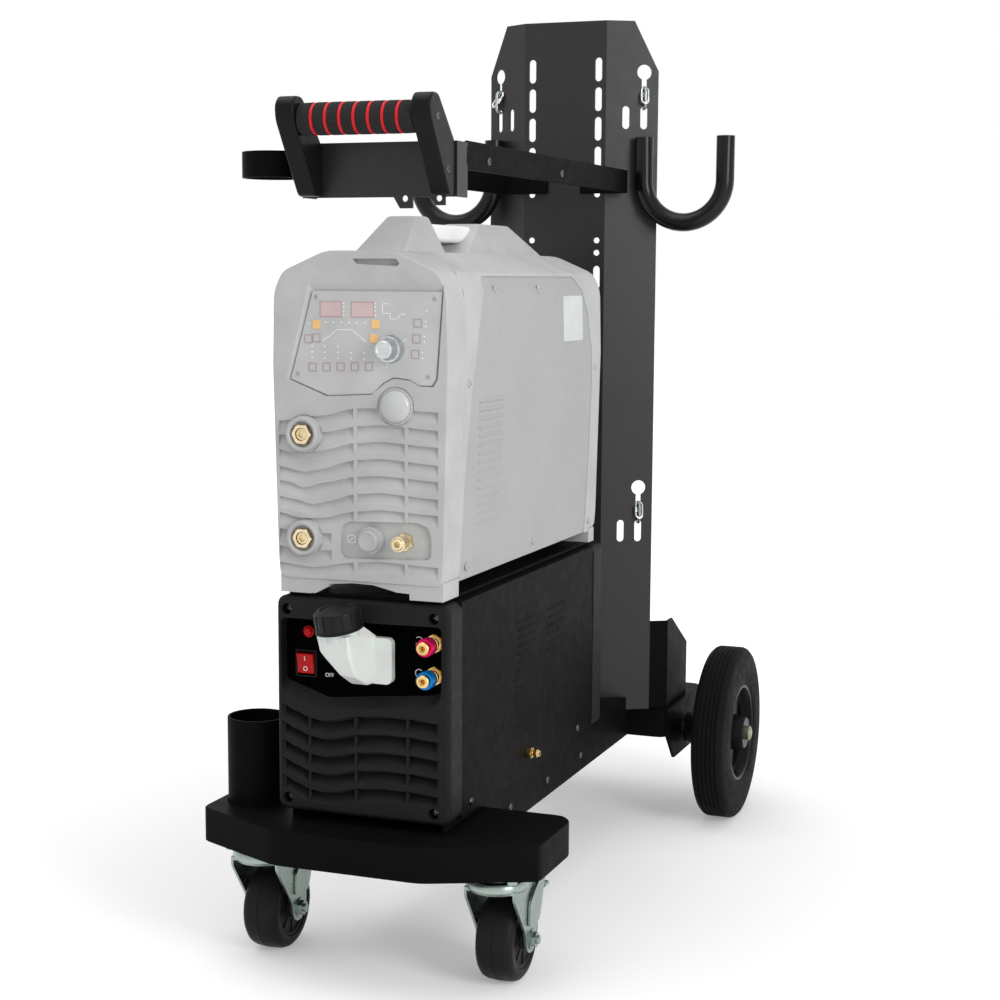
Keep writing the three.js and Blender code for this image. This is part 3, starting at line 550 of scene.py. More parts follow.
def plated(name, base, tint, low, high):
    """Plated steel: cloudy sheen with faint rolling lines."""
    work = Finish(name, low, metallic=1.0)
    cloud = work.spread(work.noise(26, 5), 0, 1)
    work.colour(work.mixed(cloud, base, tint))
    lines = work.noise(1, 4, 0.6, work.stretched((60, 60, 900)))
    work.gloss(work.spread(lines, low, high))
    work.relief(work.noise(700, 3), 0.12, 0.0002)
    return work.material


def machined(name, base, low=0.16, high=0.34):
    """Turned metal with fine tool marks and handling haze."""
    work = Finish(name, low, metallic=1.0)
    work.colour(work.mixed(work.spread(work.noise(70, 4), 0, 1), shade(base, 0.82), base))
    work.gloss(work.spread(work.noise(240, 3), low, high))
    work.relief(work.noise(1, 2, 0.5, work.stretched((1400, 3000, 1400))), 0.12, 0.0001)
    return work.material


def rubbery(name, base, low, high, size=420, dusty=(0.07, 0.066, 0.06), specular=0.08):
    """Black rubber with mould bloom and a trace of dust."""
    work = Finish(name, high, specular=specular)
    bloom = work.spread(work.noise(14, 6, 0.6), 0, 0.1, 0.5, 0.78)
    work.colour(work.mixed(bloom, base, dusty))
    work.gloss(work.spread(work.noise(90, 4), low, high))
    work.relief(work.noise(size, 4, 0.6), 0.2, 0.0004)
    return work.material


@made_once
def powder_black(name):
    return coated_sheet(name, settings().trolley_look.powder, specular=0.022)


@made_once
def sheen_coat(name):
    """The same powder coat, glossier, with its colour made 2.6 times lighter as a painted sheen."""
    return coated_sheet(name, shade(settings().trolley_look.powder, 2.6), 0.34, 0.42, 0.36)


@made_once
def tube_coat(name):
    return coated_sheet(name, settings().trolley_look.powder, 0.16, 0.22, 0.22)


@made_once
def zinc_plate(name):
    base = settings().trolley_look.zinc
    return plated(name, base, (0.38, 0.43, 0.38), 0.22, 0.4)


@made_once
def yellow_zinc(name):
    base = settings().trolley_look.yellow_zinc
    return plated(name, base, (0.24, 0.27, 0.19), 0.24, 0.4)


@made_once
def dark_screw(name):
    return machined(name, (0.12, 0.115, 0.11), 0.22, 0.4)


@made_once
def bright_steel(name):
    return machined(name, (0.72, 0.72, 0.70), 0.12, 0.26)


@made_once
def caster_rubber(name):
    return rubbery(name, settings().trolley_look.rubber, 0.34, 0.52)


@made_once
def tyre_rubber(name):
    return rubbery(name, settings().trolley_look.tyre, 0.5, 0.68, 300, (0.04, 0.037, 0.034), 0.03)


@made_once
def grip_foam(name):
    """Closed-cell foam: tiny pits all over."""
    base = settings().trolley_look.foam
    work = Finish(name, 0.9, specular=0.2)
    work.colour(work.mixed(work.spread(work.noise(900, 3), 0, 1), shade(base, 0.6),
                           shade(base, 1.6)))
    cells = work.nodes.new("ShaderNodeTexVoronoi")
    cells.inputs["Scale"].default_value = 1300
    work.links.new(work.where, cells.inputs["Vector"])
    work.relief(cells.outputs["Distance"], 0.35, 0.0003)
    return work.material


@made_once
def grip_band(name):
    return moulded(name, settings().trolley_look.rings, 0.5, 0.65, 0.35, 0.3, 1300)


@made_once
def handle_plastic(name):
    return moulded(name, settings().cooler_look.plastic, 0.26, 0.36, 0.1, 0.1)


@made_once
def cooler_plastic(name):
    return moulded(name, shade(settings().cooler_look.plastic, 1.7), 0.5, 0.62, 0.1, 0.3, 1200)


# Near-black panel with almost no reflection: painted shade at the back of the cooler's recess.
@made_once
def recess_black(name):
    return moulded(name, (0.0007, 0.0007, 0.0007), 0.6, 0.75, 0.01, 0.2)


@made_once
def cap_plastic(name):
    return moulded(name, settings().cooler_look.plastic, 0.3, 0.42, 0.16, 0.12)


@made_once
def tank_plastic(name):
    """Natural polyethylene: milky and slightly see-through."""
    base = settings().cooler_look.tank
    work = Finish(name, 0.42, specular=0.4)
    work.shader.inputs["Subsurface Weight"].default_value = 0.25
    work.shader.inputs["Subsurface Scale"].default_value = 0.004
    work.colour(work.mixed(work.spread(work.noise(40, 4), 0, 1), shade(base, 0.94), base))
    work.gloss(work.spread(work.noise(160, 3), 0.36, 0.5))
    work.relief(work.noise(500, 3), 0.12, 0.0003)
    return work.material


@made_once
def lamp_red(name):
    base = settings().cooler_look.rocker
    work = Finish(name, 0.12, specular=0.16)
    work.colour(work.mixed(work.spread(work.noise(120, 3), 0, 1), shade(base, 0.75), base))
    work.gloss(work.spread(work.noise(200, 3), 0.08, 0.2))
    return work.material


def anodised(name, base):
    work = Finish(name, 0.22, metallic=1.0)
    work.colour(work.mixed(work.spread(work.noise(150, 3), 0, 1), shade(base, 0.85), base))
    work.gloss(work.spread(work.noise(300, 3), 0.14, 0.28))
    return work.material


@made_once
def supply_anodised(name):
    return anodised(name, settings().cooler_look.supply)


@made_once
def return_anodised(name):
    return anodised(name, settings().cooler_look.back)


@made_once
def coupling_brass(name):
    return machined(name, settings().cooler_look.brass)


@made_once
def socket_brass(name):
    return machined(name, settings().welder_look.brass, 0.2, 0.36)


@made_once
def pale_moulding(name):
    return moulded(name, settings().welder_look.shell, 0.5, 0.62, 0.3, 0.3, 1300)


@made_once
def pale_ring(name):
    return moulded(name, shade(settings().welder_look.shell, 0.92), 0.3, 0.4, 0.4, 0.1)


@made_once
def pale_sheet(name):
    """Pale coat on the side sheet."""
    base = settings().welder_look.cover
    work = Finish(name, 0.5, specular=0.3)
    work.colour(work.mixed(work.spread(work.noise(12, 4), 0, 1), shade(base, 0.97),
                           shade(base, 1.03)))
    work.gloss(work.spread(work.noise(80, 3), 0.46, 0.6))
    work.relief(work.noise(1100, 2, 0.6), 0.18, 0.0003)
    return work.material


@made_once
def pale_bar(name):
    return moulded(name, settings().welder_look.bar, 0.36, 0.5, 0.35, 0.12)


@made_once
def panel_film(name):
    return moulded(name, settings().welder_look.panel, 0.28, 0.4, 0.4, 0.1)


@made_once
def readout_window(name):
    return moulded(name, settings().welder_look.window, 0.14, 0.24, 0.45, 0.04)


@made_once
def lit_key(name):
    return moulded(name, settings().welder_look.button, 0.34, 0.46, 0.35, 0.1)


@made_once
def key_outline(name):
    return moulded(name, settings().welder_look.outline, 0.4, 0.55, 0.3, 0.08)


@made_once
def print_white(name):
    return moulded(name, settings().welder_look.print_white, 0.5, 0.62, 0.3, 0.05)


@made_once
def knob_metal(name):
    return machined(name, (0.64, 0.67, 0.68), 0.24, 0.4)


@made_once
def clear_dome(name):
    return moulded(name, shade(settings().welder_look.shell, 1.08), 0.08, 0.16, 0.5, 0.03)


@made_once
def sticker_film(name):
    return moulded(name, (0.64, 0.66, 0.67), 0.4, 0.55, 0.3, 0.06)


# ---- small repeated shapes -----------------------------------------------------------------------
def add_shape(bm, shape, at, facing=(0, 0, 1), size=1.0, roll=0.0):
    """Copies a finished shape into another, its Z turned to where it faces."""
    turn = Vector((0, 0, 1)).rotation_difference(Vector(facing)).to_matrix().to_4x4()
    place = Matrix.Translation(at) @ turn @ Matrix.Rotation(roll, 4, "Z") @ Matrix.Scale(size, 4)
    part = shape.copy()
    part.transform(place)
    absorb(bm, part)


def screw_head():
    """A pan head of radius 1 with a cross recess, sunk a little into what it holds."""
    head = bmesh.new()
    dome = 0.42
    profile = [(-0.3, 0.0), (-0.3, 1.0), (0.1, 1.0), (dome * 0.7, 0.88), (dome, 0.55),
               (dome * 1.04, 0.0)]
    add_turned(head, "z", profile, steps=24)
    cross = bmesh.new()
    for turn in (0, PI / 2):
        add_box(cross, (-0.13, -0.62, dome * 0.25), (0.13, 0.62, dome * 2),
                Matrix.Rotation(turn, 4, "Z"))
    head = carve(head, cross)
    ease(head, 0.03, 1, 40)
    return head


def add_nuts(bm, places, facing, size, tall=0.8, bore=0.0, roll=0.0):
    """Like nuts on a face, chamfered at their outer end: all sizes are in nut radii but the first."""
    nut = bmesh.new()
    add_rod(nut, "z", 1.0, 0, tall, 0, 0, 6)
    nut = carve(nut, turned("z", [(tall + 0.1, 0.84), (tall - 0.16, 1.06), (tall + 0.1, 1.06)],
                            steps=36))
    if bore:
        hole = bmesh.new()
        add_rod(hole, "z", bore, tall * 0.3, tall + 0.2, 0, 0, 24)
        nut = carve(nut, hole)
    for at in places:
        add_shape(bm, nut, at, facing, size, roll)
    nut.free()


def screws(name, places, facing, radius, pale=False):
    """A row of like screws as one piece."""
    head = screw_head()
    bm = bmesh.new()
    for i, at in enumerate(places):
        add_shape(bm, head, at, facing, radius, 0.4 + i * 1.3)
    head.free()
    material, slot = (pale_ring(), "pale_shell") if pale else (dark_screw(), "zinc")
    return piece(bm, name, material, smooth=40)


def flat_mark(name, lines, width, face):
    """Printed strokes lying on a face that looks to the front: each a path of (x, z) points."""
    thick = 0.25
    bm = bmesh.new()
    for line in lines:
        for (x0, z0), (x1, z1) in zip(line, line[1:]):
            run = Vector((x1 - x0, 0, z1 - z0))
            place = Matrix.Translation(((x0 + x1) / 2, face - thick / 2, (z0 + z1) / 2))
            turn = Matrix.Rotation(-atan2(z1 - z0, x1 - x0), 4, "Y")
            add_block(bm, place @ turn, (run.length + width * 0.6, thick, width))
    return piece(bm, name, print_white(), smooth=20, weighted=False)


def arc(x, z, radius, start, stop):
    """Points (x, z) along an arc, its angles in degrees."""
    turn = [radians(start + (stop - start) * i / 14) for i in range(15)]
    return [(x + radius * cos(a), z + radius * sin(a)) for a in turn]


def arrow(points, size):
    """A path with a two-stroke arrow head at its end."""
    (x0, z0), (x1, z1) = points[-2:]
    way = atan2(z1 - z0, x1 - x0)
    barbs = [[(x1 + size * cos(way + turn), z1 + size * sin(way + turn)), (x1, z1)]
             for turn in (2.5, -2.5)]
    return [points] + barbs


def word(name, text, size, x, z, face):
    """A short printed word on a face that looks to the front."""
    curve = bpy.data.curves.new(name, "FONT")
    curve.body, curve.size, curve.extrude = text, size, 0.12
    curve.align_x, curve.align_y = "CENTER", "CENTER"
    written = new_object(name, curve)
    mesh = written.evaluated_get(bpy.context.evaluated_depsgraph_get()).to_mesh()
    bm = bmesh.new()
    bm.from_mesh(mesh)
    written.to_mesh_clear()
    bpy.data.objects.remove(written)
    bpy.data.curves.remove(curve)
    weld(bm, 0.001)
    bm.transform(Matrix.Translation((x, face, z)) @ Matrix.Rotation(PI / 2, 4, "X"))
    return piece(bm, name, print_white(), smooth=20, weighted=False)


# ---- trolley -------------------------------------------------------------------------------------
class TROLLEY_OT_deck(bpy.types.Operator):
    """Folded deck pan with its slit corners, the channel under it and the chassis tray"""
    bl_idname = "trolley.deck"
    bl_label = "Deck and chassis"

    def execute(self, context):
        look = context.scene.trolley_look
        low, high = span("deck_pan")
        slits = bmesh.new()
        for side in (-1, 1):
            for x, y, way in ((206, 8, 0.7), (206, 111, -0.45)):
                turn = Matrix.Rotation(way * side, 4, "Z")
                add_box(slits, (x * side - 5, y - 0.45, low.z - 1),
                        (x * side + 5, y + 0.45, high.z - 4), turn)
        softened("deck_pan", 1.3, powder_black(), tools=slits, segments=3)
        dress("caster_channel", powder_black())
        softened("chassis_tray", look.fold, powder_black())
        side = span("chassis_tray")[1].x
        for name, way in SIDES:
            places = [((side - 0.1) * way, y, DECK_TOP - 25) for y in (220, 353.5, 487)]
            screws("rail_screws_" + name, places, (way, 0, 0), 4.6)
        bolts = bmesh.new()
        add_nuts(bolts, [(x, y, DECK_TOP - 3.2) for x in (-70, 70) for y in (30, 108)], (0, 0, -1),
                 7.5)
        piece(bolts, "deck_bolts", zinc_plate())
        return {"FINISHED"}


class TROLLEY_OT_rod_holder(bpy.types.Operator):
    """Upper ring and lower tube that hold the filler rods"""
    bl_idname = "trolley.rod_holder"
    bl_label = "Filler rod holder"

    def execute(self, context):
        low, high = span("rod_ring")
        radius = (high.y - low.y) / 2
        x, y = low.x + radius, (low.y + high.y) / 2
        wall = [(low.z, radius), (high.z, radius), (high.z, radius - 3), (low.z, radius - 3)]
        ring = turned("z", wall, x, y, 72)
        ease(ring, 0.7, 2)
        remade(ring, "rod_ring", powder_black())
        lug = bmesh.new()
        add_box(lug, (x + radius - 1.5, y - 10, low.z + 3), (high.x, y - 7, high.z - 3))
        ease(lug, 0.6, 2)
        for z in (low.z + 6, high.z - 6):
            bead(lug, (x + radius - 0.5, y - 11, z), (x + radius - 0.5, y - 11, z + 0.1), 1.6, 1)
        bead(lug, (x + radius - 0.2, y - 10.5, low.z + 4), (x + radius - 0.2, y - 10.5, high.z - 4),
             1.5, 11)
        piece(lug, "ring_lug", powder_black(), smooth=60)
        low, high = span("rod_tube")
        radius = (high.x - low.x) / 2
        x, y = middle(low, high, "xy")
        wall = [(low.z, 0), (low.z, radius), (high.z, radius), (high.z, radius - 3),
                (low.z + 3, radius - 3), (low.z + 3, 0)]
        tube = turned("z", wall, x, y, 72)
        ease(tube, 0.8, 2)
        for i in range(40):
            turn = 2 * PI * i / 40
            at = (x + radius * cos(turn) * 0.995, y + radius * sin(turn) * 0.995, low.z + 0.6)
            bead(tube, at, at, 1.5, 1)
        remade(tube, "rod_tube", powder_black(), smooth=60)
        return {"FINISHED"}


class TROLLEY_OT_casters(bpy.types.Operator):
    """Braked swivel casters: plate, turned race, fork, tread and pedal"""
    bl_idname = "trolley.casters"
    bl_label = "Casters"

    def execute(self, context):
        for name, _ in SIDES:
            fork, wheel = "caster_fork_" + name, "caster_wheel_" + name
            low, high = span("caster_plate_" + name)
            x, y = middle(low, high, "xy")
            plate = bmesh.new()
            add_box(plate, (low.x, low.y, high.z - 3.4), high)
            ease(plate, 6, 4, pick=lambda e: abs(e.verts[0].co.z - e.verts[1].co.z) > 1)
            ease(plate, 0.7, 2)
            add_turned(plate, "z", [(high.z - 3.5, 18), (high.z - 3.5, 31), (high.z - 5, 33),
                                    (high.z - 8, 33), (low.z + 1, 30.5), (low.z, 29), (low.z, 18)],
                       x, y, 64)
            places = [(x + dx, y + dy, high.z - 3.3) for dx in (-28, 28) for dy in (-28, 28)]
            add_nuts(plate, places, (0, 0, -1), 6.2)
            remade(plate, "caster_plate_" + name, zinc_plate())
            self.make_fork(name, fork)
            self.make_wheel(name, wheel)
            softened("caster_brake_" + name, 0.8, zinc_plate(), "brake_" + name)
            low, high = span("caster_brake_" + name)
            tread = bmesh.new()
            for i in range(4):
                add_box(tread, (low.x + 2.5, high.y - 14 + i * 3.4, 105.4),
                        (high.x - 4, high.y - 12.6 + i * 3.4, 106.6))
            ease(tread, 0.4, 1)
            piece(tread, "brake_ribs_" + name, zinc_plate(), "brake_" + name)
        return {"FINISHED"}

    def make_fork(self, name, fork):
        bm = copy_of(fork)
        ease(bm, 1.1, 2, 40)
        low, high = span(fork)
        x, y = (low.x + high.x) / 2 - 1.5, 40
        add_turned(bm, "z", [(high.z - 13, 20), (high.z - 13, 32), (high.z - 9, 35.5),
                             (high.z - 4, 35.5), (high.z, 33), (high.z, 20)], x, y, 64)
        wheel_low, wheel_high = span("caster_wheel_" + name)
        axle_y, axle_z = middle(wheel_low, wheel_high, "yz")
        for way in (-1, 1):
            add_turned(bm, "x", [(x + way * 29.9, 5), (x + way * 29.9, 11.5), (x + way * 31.4, 11.5),
                                  (x + way * 31.4, 5)], axle_y, axle_z, 40)
        remade(bm, fork, zinc_plate(), "caster_" + name, 40)

    def make_wheel(self, name, wheel):
        low, high = span(wheel)
        x, y, z = middle(low, high, "xyz")
        half, radius = 22, (high.z - low.z) / 2
        tread = bmesh.new()
        profile = [(-half + 2, 34), (-half, 36), (-half, 41), (-half + 1.2, 44.5), (-half + 4, 47.6),
                   (-half + 9, 49.4), (-0.9, radius), (-0.7, radius - 0.5), (0.7, radius - 0.5),
                   (0.9, radius), (half - 9, 49.4), (half - 4, 47.6), (half - 1.2, 44.5), (half, 41),
                   (half, 36), (half - 2, 34)]
        add_turned(tread, "x", [(x + at, r) for at, r in profile], y, z, 96)
        piece(tread, "tread_" + name, caster_rubber(), "caster_wheel_" + name,
              [wheel], 50)
        hub = bmesh.new()
        profile = [(-half - 3, 7.5), (half + 3, 7.5), (half + 3, 12), (half - 1.6, 13.5),
                   (half - 2.6, 16), (half - 3.4, 29), (half - 1.4, 31), (half - 1.4, 34.2),
                   (half - 2.5, 35), (-half + 2.5, 35), (-half + 1.4, 34.2), (-half + 1.4, 31),
                   (-half + 3.4, 29), (-half + 2.6, 16), (-half + 1.6, 13.5), (-half - 3, 12)]
        add_turned(hub, "x", [(x + at, r) for at, r in profile], y, z, 72)
        for way in (-1, 1):
            for i in range(8):
                turn = 2 * PI * i / 8
                where = Vector((x + way * (half - 2.6), y + 22.5 * cos(turn), z + 22.5 * sin(turn)))
                rib = Matrix.Translation(where) @ Matrix.Rotation(turn, 4, "X")
                add_block(hub, rib, (2.2, 14, 2.2))
        piece(hub, "hub_" + name, caster_rubber(), "caster_wheel_" + name, smooth=35)
        bearing = bmesh.new()
        for way in (-1, 1):
            add_turned(bearing, "x", [(x + way * 23, 5.4), (x + way * 25.2, 5.4),
                                      (x + way * 25.2, 7.4), (x + way * 23, 7.4)], y, z, 40)
        piece(bearing, "bearing_" + name, bright_steel(), "caster_wheel_" + name)


class TROLLEY_OT_rear_wheels(bpy.types.Operator):
    """Rear outrigger, axle, ribbed rims and grooved tyres"""
    bl_idname = "trolley.rear_wheels"
    bl_label = "Outrigger and rear wheels"

    def execute(self, context):
        look = context.scene.trolley_look
        softened("rear_outrigger", look.fold, powder_black())
        softened("bottle_cradle", look.fold, powder_black(), segments=1)
        low, high = span("rear_axle")
        y, z = middle(low, high, "yz")
        dress("rear_axle", yellow_zinc())
        for name, side in SIDES:
            self.make_tyre(name, y, z, look.groove)
            self.make_rim(name, side, y, z)
            low, high = span("axle_cap_" + name)
            inner, outer = (low.x, high.x) if side > 0 else (high.x, low.x)
            cap = turned("x", [(inner, 0), (inner, 10.5), (inner + side * 2.2, 10.5),
                               (inner + side * 3.4, 9), (inner + side * 3.8, 7.6),
                               (outer - side * 0.6, 7.2), (outer, 5.6), (outer, 0)], y, z, 48)
            remade(cap, "axle_cap_" + name, yellow_zinc())
        return {"FINISHED"}

    def make_tyre(self, name, y, z, groove):
        low, high = span("rear_tyre_" + name)
        x, half, radius = (low.x + high.x) / 2, (high.x - low.x) / 2, (high.z - low.z) / 2
        ring, crown = radius - 55, radius
        side = [(half - 3, ring), (half - 0.8, ring + 3), (half - 0.8, ring + 9), (half, ring + 11),
                (half, ring + 30), (half - 0.7, ring + 32), (half - 0.7, ring + 38),
                (half - 1.6, crown - 11), (half - 3, crown - 5), (half - 6.5, crown - 1.4),
                (half - 9.5, crown - 0.2)]
        tread = []
        for at in (-12.5, -6.2, 0, 6.2, 12.5):
            tread += [(at - 1.7, crown), (at - 1.0, crown - groove), (at + 1.0, crown - groove),
                      (at + 1.7, crown)]
        profile = [(-at, r) for at, r in side] + tread + [(at, r) for at, r in reversed(side)]
        tyre = turned("x", [(x + at, r) for at, r in profile], y, z, 128)
        remade(tyre, "rear_tyre_" + name, tyre_rubber(), "rear_wheel_" + name, 38)

    def make_rim(self, name, side, y, z):
        low, high = span("rear_rim_" + name)
        hub_out, hub_in = (high.x, low.x) if side > 0 else (low.x, high.x)
        x = 214 * side
        rim = bmesh.new()
        radius = (high.z - low.z) / 2
        profile = [(hub_in, 10.4), (hub_out, 10.4), (hub_out, 21.5), (hub_out - side * 1.5, 23),
                   (x + side * 9, 26), (x + side * 8, 34), (x + side * 8, 58), (x + side * 10, 62),
                   (x + side * 20, 64.5), (x + side * 22.5, 66), (x + side * 22.5, radius),
                   (x - side * 21, radius), (x - side * 21, 64.5), (x - side * 8, 60),
                   (x - side * 8, 26), (hub_in, 22.5)]
        add_turned(rim, "x", profile, y, z, 96)
        windows = bmesh.new()
        count = 5
        for i in range(count):
            heading = 2 * PI * i / count + PI / 2
            outline = []
            for r, spread in ((31, 0.26), (56.5, 0.47)):
                turns = [heading - spread + 2 * spread * k / 6 for k in range(7)]
                ring = [(y + r * cos(a), z + r * sin(a)) for a in turns]
                outline += ring if r < 40 else ring[::-1]
            add_prism(windows, "x", outline, x - 34, x + 34)
        rim = carve(rim, windows)
        ease(rim, 0.9, 2, 50)
        remade(rim, "rear_rim_" + name, handle_plastic(), "rear_wheel_" + name, 38)
        bearing = turned("x", [(hub_out - side * 1.5, 10.2), (hub_out - side * 0.2, 10.6),
                               (hub_out - side * 0.2, 16), (hub_out - side * 1.5, 16.4)], y, z, 48)
        piece(bearing, "rear_bearing_" + name, bright_steel(), "rear_wheel_" + name)


COLUMN_FACE, COLUMN_FOLD = 669.8, 59.3      # front of the column's sheet, and where its wings start
WING = (0.87307, 0.48762)                   # the way the right wing runs, as (x, y)
CHAIN_AT = 53.5                             # distance of the keyholes from the fold
KEYHOLES = ((1066, 1043), (492, 469))       # height of each eye and of its neck's foot
STRAP_SLOTS = (1085, 1045, 1005, 965, 802)  # tops of the slots beside the folds
STRAP_HOLES = (900, 837, 820)


class TROLLEY_OT_column(bpy.types.Operator):
    """Folded bottle column with the links that carry its chain, and the two cable hooks"""
    bl_idname = "trolley.column"
    bl_label = "Bottle column and hooks"

    def execute(self, context):
        column = copy_of("bottle_column")
        slots, necks = self.round_ends()
        column = carve(carve(column, slots), necks)
        # The column's lighter coat is a painted sheen.
        remade(column, "bottle_column", sheen_coat(), smooth=12)
        for name, side in SIDES:
            self.make_hook(name, side)
        for node in ("quick_link_upper_left", "quick_link_upper_right", "quick_link_lower_right"):
            self.make_link(node)
        return {"FINISHED"}

    def round_ends(self):
        """Cutters that turn the ends of the slots and keyholes into true arcs."""
        slots, necks = bmesh.new(), bmesh.new()
        front, back = COLUMN_FACE - 9, COLUMN_FACE + 9
        for side in (-1, 1):
            for top in STRAP_SLOTS:
                add_prism(slots, "y", slot_outline(48 * side, top - 32, top, 5.05), front, back)
            for z in STRAP_HOLES:
                add_rod(slots, "y", 4.1, front, back, 48 * side, z, 24)
            on_wing = Matrix(((WING[0] * side, -WING[1] * side, 0, COLUMN_FOLD * side),
                              (WING[1], WING[0], 0, COLUMN_FACE), (0, 0, 1, 0), (0, 0, 0, 1)))
            for eye, neck in KEYHOLES:
                wide = add_rod(slots, "y", 10.2, -12, 12, CHAIN_AT, eye, 32)
                for u in (28.3, CHAIN_AT):
                    outline = slot_outline(u, neck - 54, neck - 23, 5.05)
                    wide += add_prism(slots, "y", outline, -12, 12)
                bmesh.ops.transform(slots, matrix=on_wing, verts=wide)
                thin = add_prism(necks, "y", slot_outline(CHAIN_AT, neck, eye, 3.65), -12, 12)
                bmesh.ops.transform(necks, matrix=on_wing, verts=thin)
        return slots, necks

    def make_hook(self, name, side):
        node = "cable_hook_" + name
        low, high = span(node)
        radius = (high.y - low.y) / 2
        near, far = (low.x, high.x) if side > 0 else (high.x, low.x)
        y, bend = (low.y + high.y) / 2, abs(far - near) / 2 - radius
        centre = ((near + far) / 2, y, low.z + radius + bend)
        path = [(near + side * radius, y, high.z)]
        path += half_ring(centre, bend, (-side, 0, 0), (0, 0, -1), 0, 30)
        path += [(far - side * radius, y, high.z)]
        hook = bmesh.new()
        add_wire(hook, path, radius, 28)
        plugs = bmesh.new()
        for x in (near + side * radius, far - side * radius):
            add_rod(plugs, "z", radius - 2, high.z - 3, high.z + 4, x, y, 28)
        hook = carve(hook, plugs)
        remade(hook, node, tube_coat(), smooth=40)
        caps = bmesh.new()
        for x in (near + side * radius, far - side * radius):
            add_turned(caps, "z", [(high.z - 5, 0), (high.z - 5, radius - 2.2),
                                   (high.z - 0.6, radius - 2.2), (high.z - 0.1, radius - 4),
                                   (high.z - 0.1, 0)], x, y, 28)
        piece(caps, "hook_plugs_" + name, cap_plastic())

    def make_link(self, node):
        low, high = span(node)
        across = Vector((high.x - low.x, high.y - low.y, 0))
        wire, sign = 2.0, -1 if (low.x + high.x) > 0 else 1
        flat = Vector((across.x * sign, across.y, 0)).normalized()
        up, centre = Vector((0, 0, 1)), (low + high) / 2
        half_wide = (across.length / 2) - wire * 1.1
        half_long = (high.z - low.z) / 2 - wire - half_wide
        path = half_ring(centre + up * half_long, half_wide, flat, up, 0, 14)
        path += half_ring(centre - up * half_long, half_wide, -flat, -up, 0, 14)
        link = bmesh.new()
        add_wire(link, path, wire, 14, closed=True)
        remade(link, node, zinc_plate(), node, 60)
        self.make_second_link(node, centre, flat if flat.y > 0 else -flat)

    def make_second_link(self, node, centre, back):
        """The link that hangs through the first, lying almost flat against the wing."""
        side = 1 if centre.x > 0 else -1
        sway = {"quick_link_upper_left": -0.5}.get(node, 0.12) * side
        wire, half_wide, half_long = 1.7, 4.6, 7.2
        wing = Vector((-back.y, back.x, 0))
        lean = Matrix.Rotation(0.42, 4, wing) @ Matrix.Rotation(sway, 4, back)
        across, up = lean @ wing, lean @ Vector((0, 0, 1))
        hung = centre - back * 5.0 + Vector((0, 0, 3.5))
        path = half_ring(hung + up * half_long, half_wide, across, up, 0, 14)
        path += half_ring(hung - up * half_long, half_wide, -across, -up, 0, 14)
        link = bmesh.new()
        add_wire(link, path, wire, 12, closed=True)
        piece(link, "hanging_link_" + node[11:], bright_steel(), node, smooth=60)
        nut = bmesh.new()
        add_rod(nut, "z", wire * 1.7, -3.4, 3.4, 0, 0, 6)
        ease(nut, 0.4, 2)
        turn = Vector((0, 0, 1)).rotation_difference(up).to_matrix().to_4x4()
        nut.transform(Matrix.Translation(hung + across * half_wide * side) @ turn)
        piece(nut, "gate_nut_" + node[11:], bright_steel(), node)


class TROLLEY_OT_arms(bpy.types.Operator):
    """Flat arms from the column to the push handle"""
    bl_idname = "trolley.arms"
    bl_label = "Arms"

    def execute(self, context):
        for name, side in SIDES:
            node = "arm_" + name
            softened(node, context.scene.trolley_look.fold, powder_black())
            low, high = span(node)
            outer = high.x if side > 0 else low.x
            places = [(outer - 0.1 * side, y, low.z + 12) for y in (142, 391)]
            screws("arm_screws_" + name, places, (side, 0, 0), 4.6)
        return {"FINISHED"}


class TROLLEY_OT_push_handle(bpy.types.Operator):
    """Folded panel, two moulded sides and the foam grip with its bands"""
    bl_idname = "trolley.push_handle"
    bl_label = "Push handle"

    def execute(self, context):
        look = context.scene.trolley_look
        # The panel's lighter coat is a painted sheen.
        softened("handle_panel", look.fold, sheen_coat())
        low, high = span("handle_panel")
        beads = bmesh.new()
        for side in (-1, 1):
            x = (high.x - 0.4) * side
            bead(beads, (x, low.y + 29, high.z - 6), (x, low.y + 29, high.z - 24), 1.7, 9,
                 (0.5, 1, 1))
        piece(beads, "panel_welds", powder_black(), smooth=70)
        for name, side in SIDES:
            node = "handle_side_" + name
            softened(node, 2.2, handle_plastic(), segments=3, smooth=45)
            low, high = span(node)
            outer = high.x if side > 0 else low.x
            places = [(outer - 0.6 * side, 29, 899), (outer - 0.6 * side, 0, 952)]
            screws("handle_screws_" + name, places, (side, 0, 0), 4.4)
        self.make_grip(look.ring_width)
        return {"FINISHED"}

    def make_grip(self, width):
        low, high = span("handle_grip")
        radius = (high.z - low.z) / 2
        y, z = middle(low, high, "yz")
        rings = [-50 + 16.6 * i for i in range(7)]
        profile = [(low.x, 0), (low.x, radius - 2.2), (low.x + 1.6, radius - 0.5)]
        for at in rings:
            profile += [(at - width / 2 - 1.2, radius - 0.1), (at - width / 2, radius - 1.8),
                        (at + width / 2, radius - 1.8), (at + width / 2 + 1.2, radius - 0.1)]
        profile += [(high.x - 1.6, radius - 0.5), (high.x, radius - 2.2), (high.x, 0)]
        grip = turned("x", profile, y, z, 96)
        foam = piece(grip, "foam_grip", grip_foam(), replaces=["handle_grip"], smooth=50)
        bands = bmesh.new()
        for at in rings:
            add_turned(bands, "x", [(at - width / 2, radius - 2.6), (at - width / 2, radius - 0.9),
                                    (at - width / 2 + 0.7, radius - 0.3),
                                    (at + width / 2 - 0.7, radius - 0.3),
                                    (at + width / 2, radius - 0.9), (at + width / 2, radius - 2.6)],
                       y, z, 96)
        piece(bands, "grip_bands", grip_band(), smooth=50)


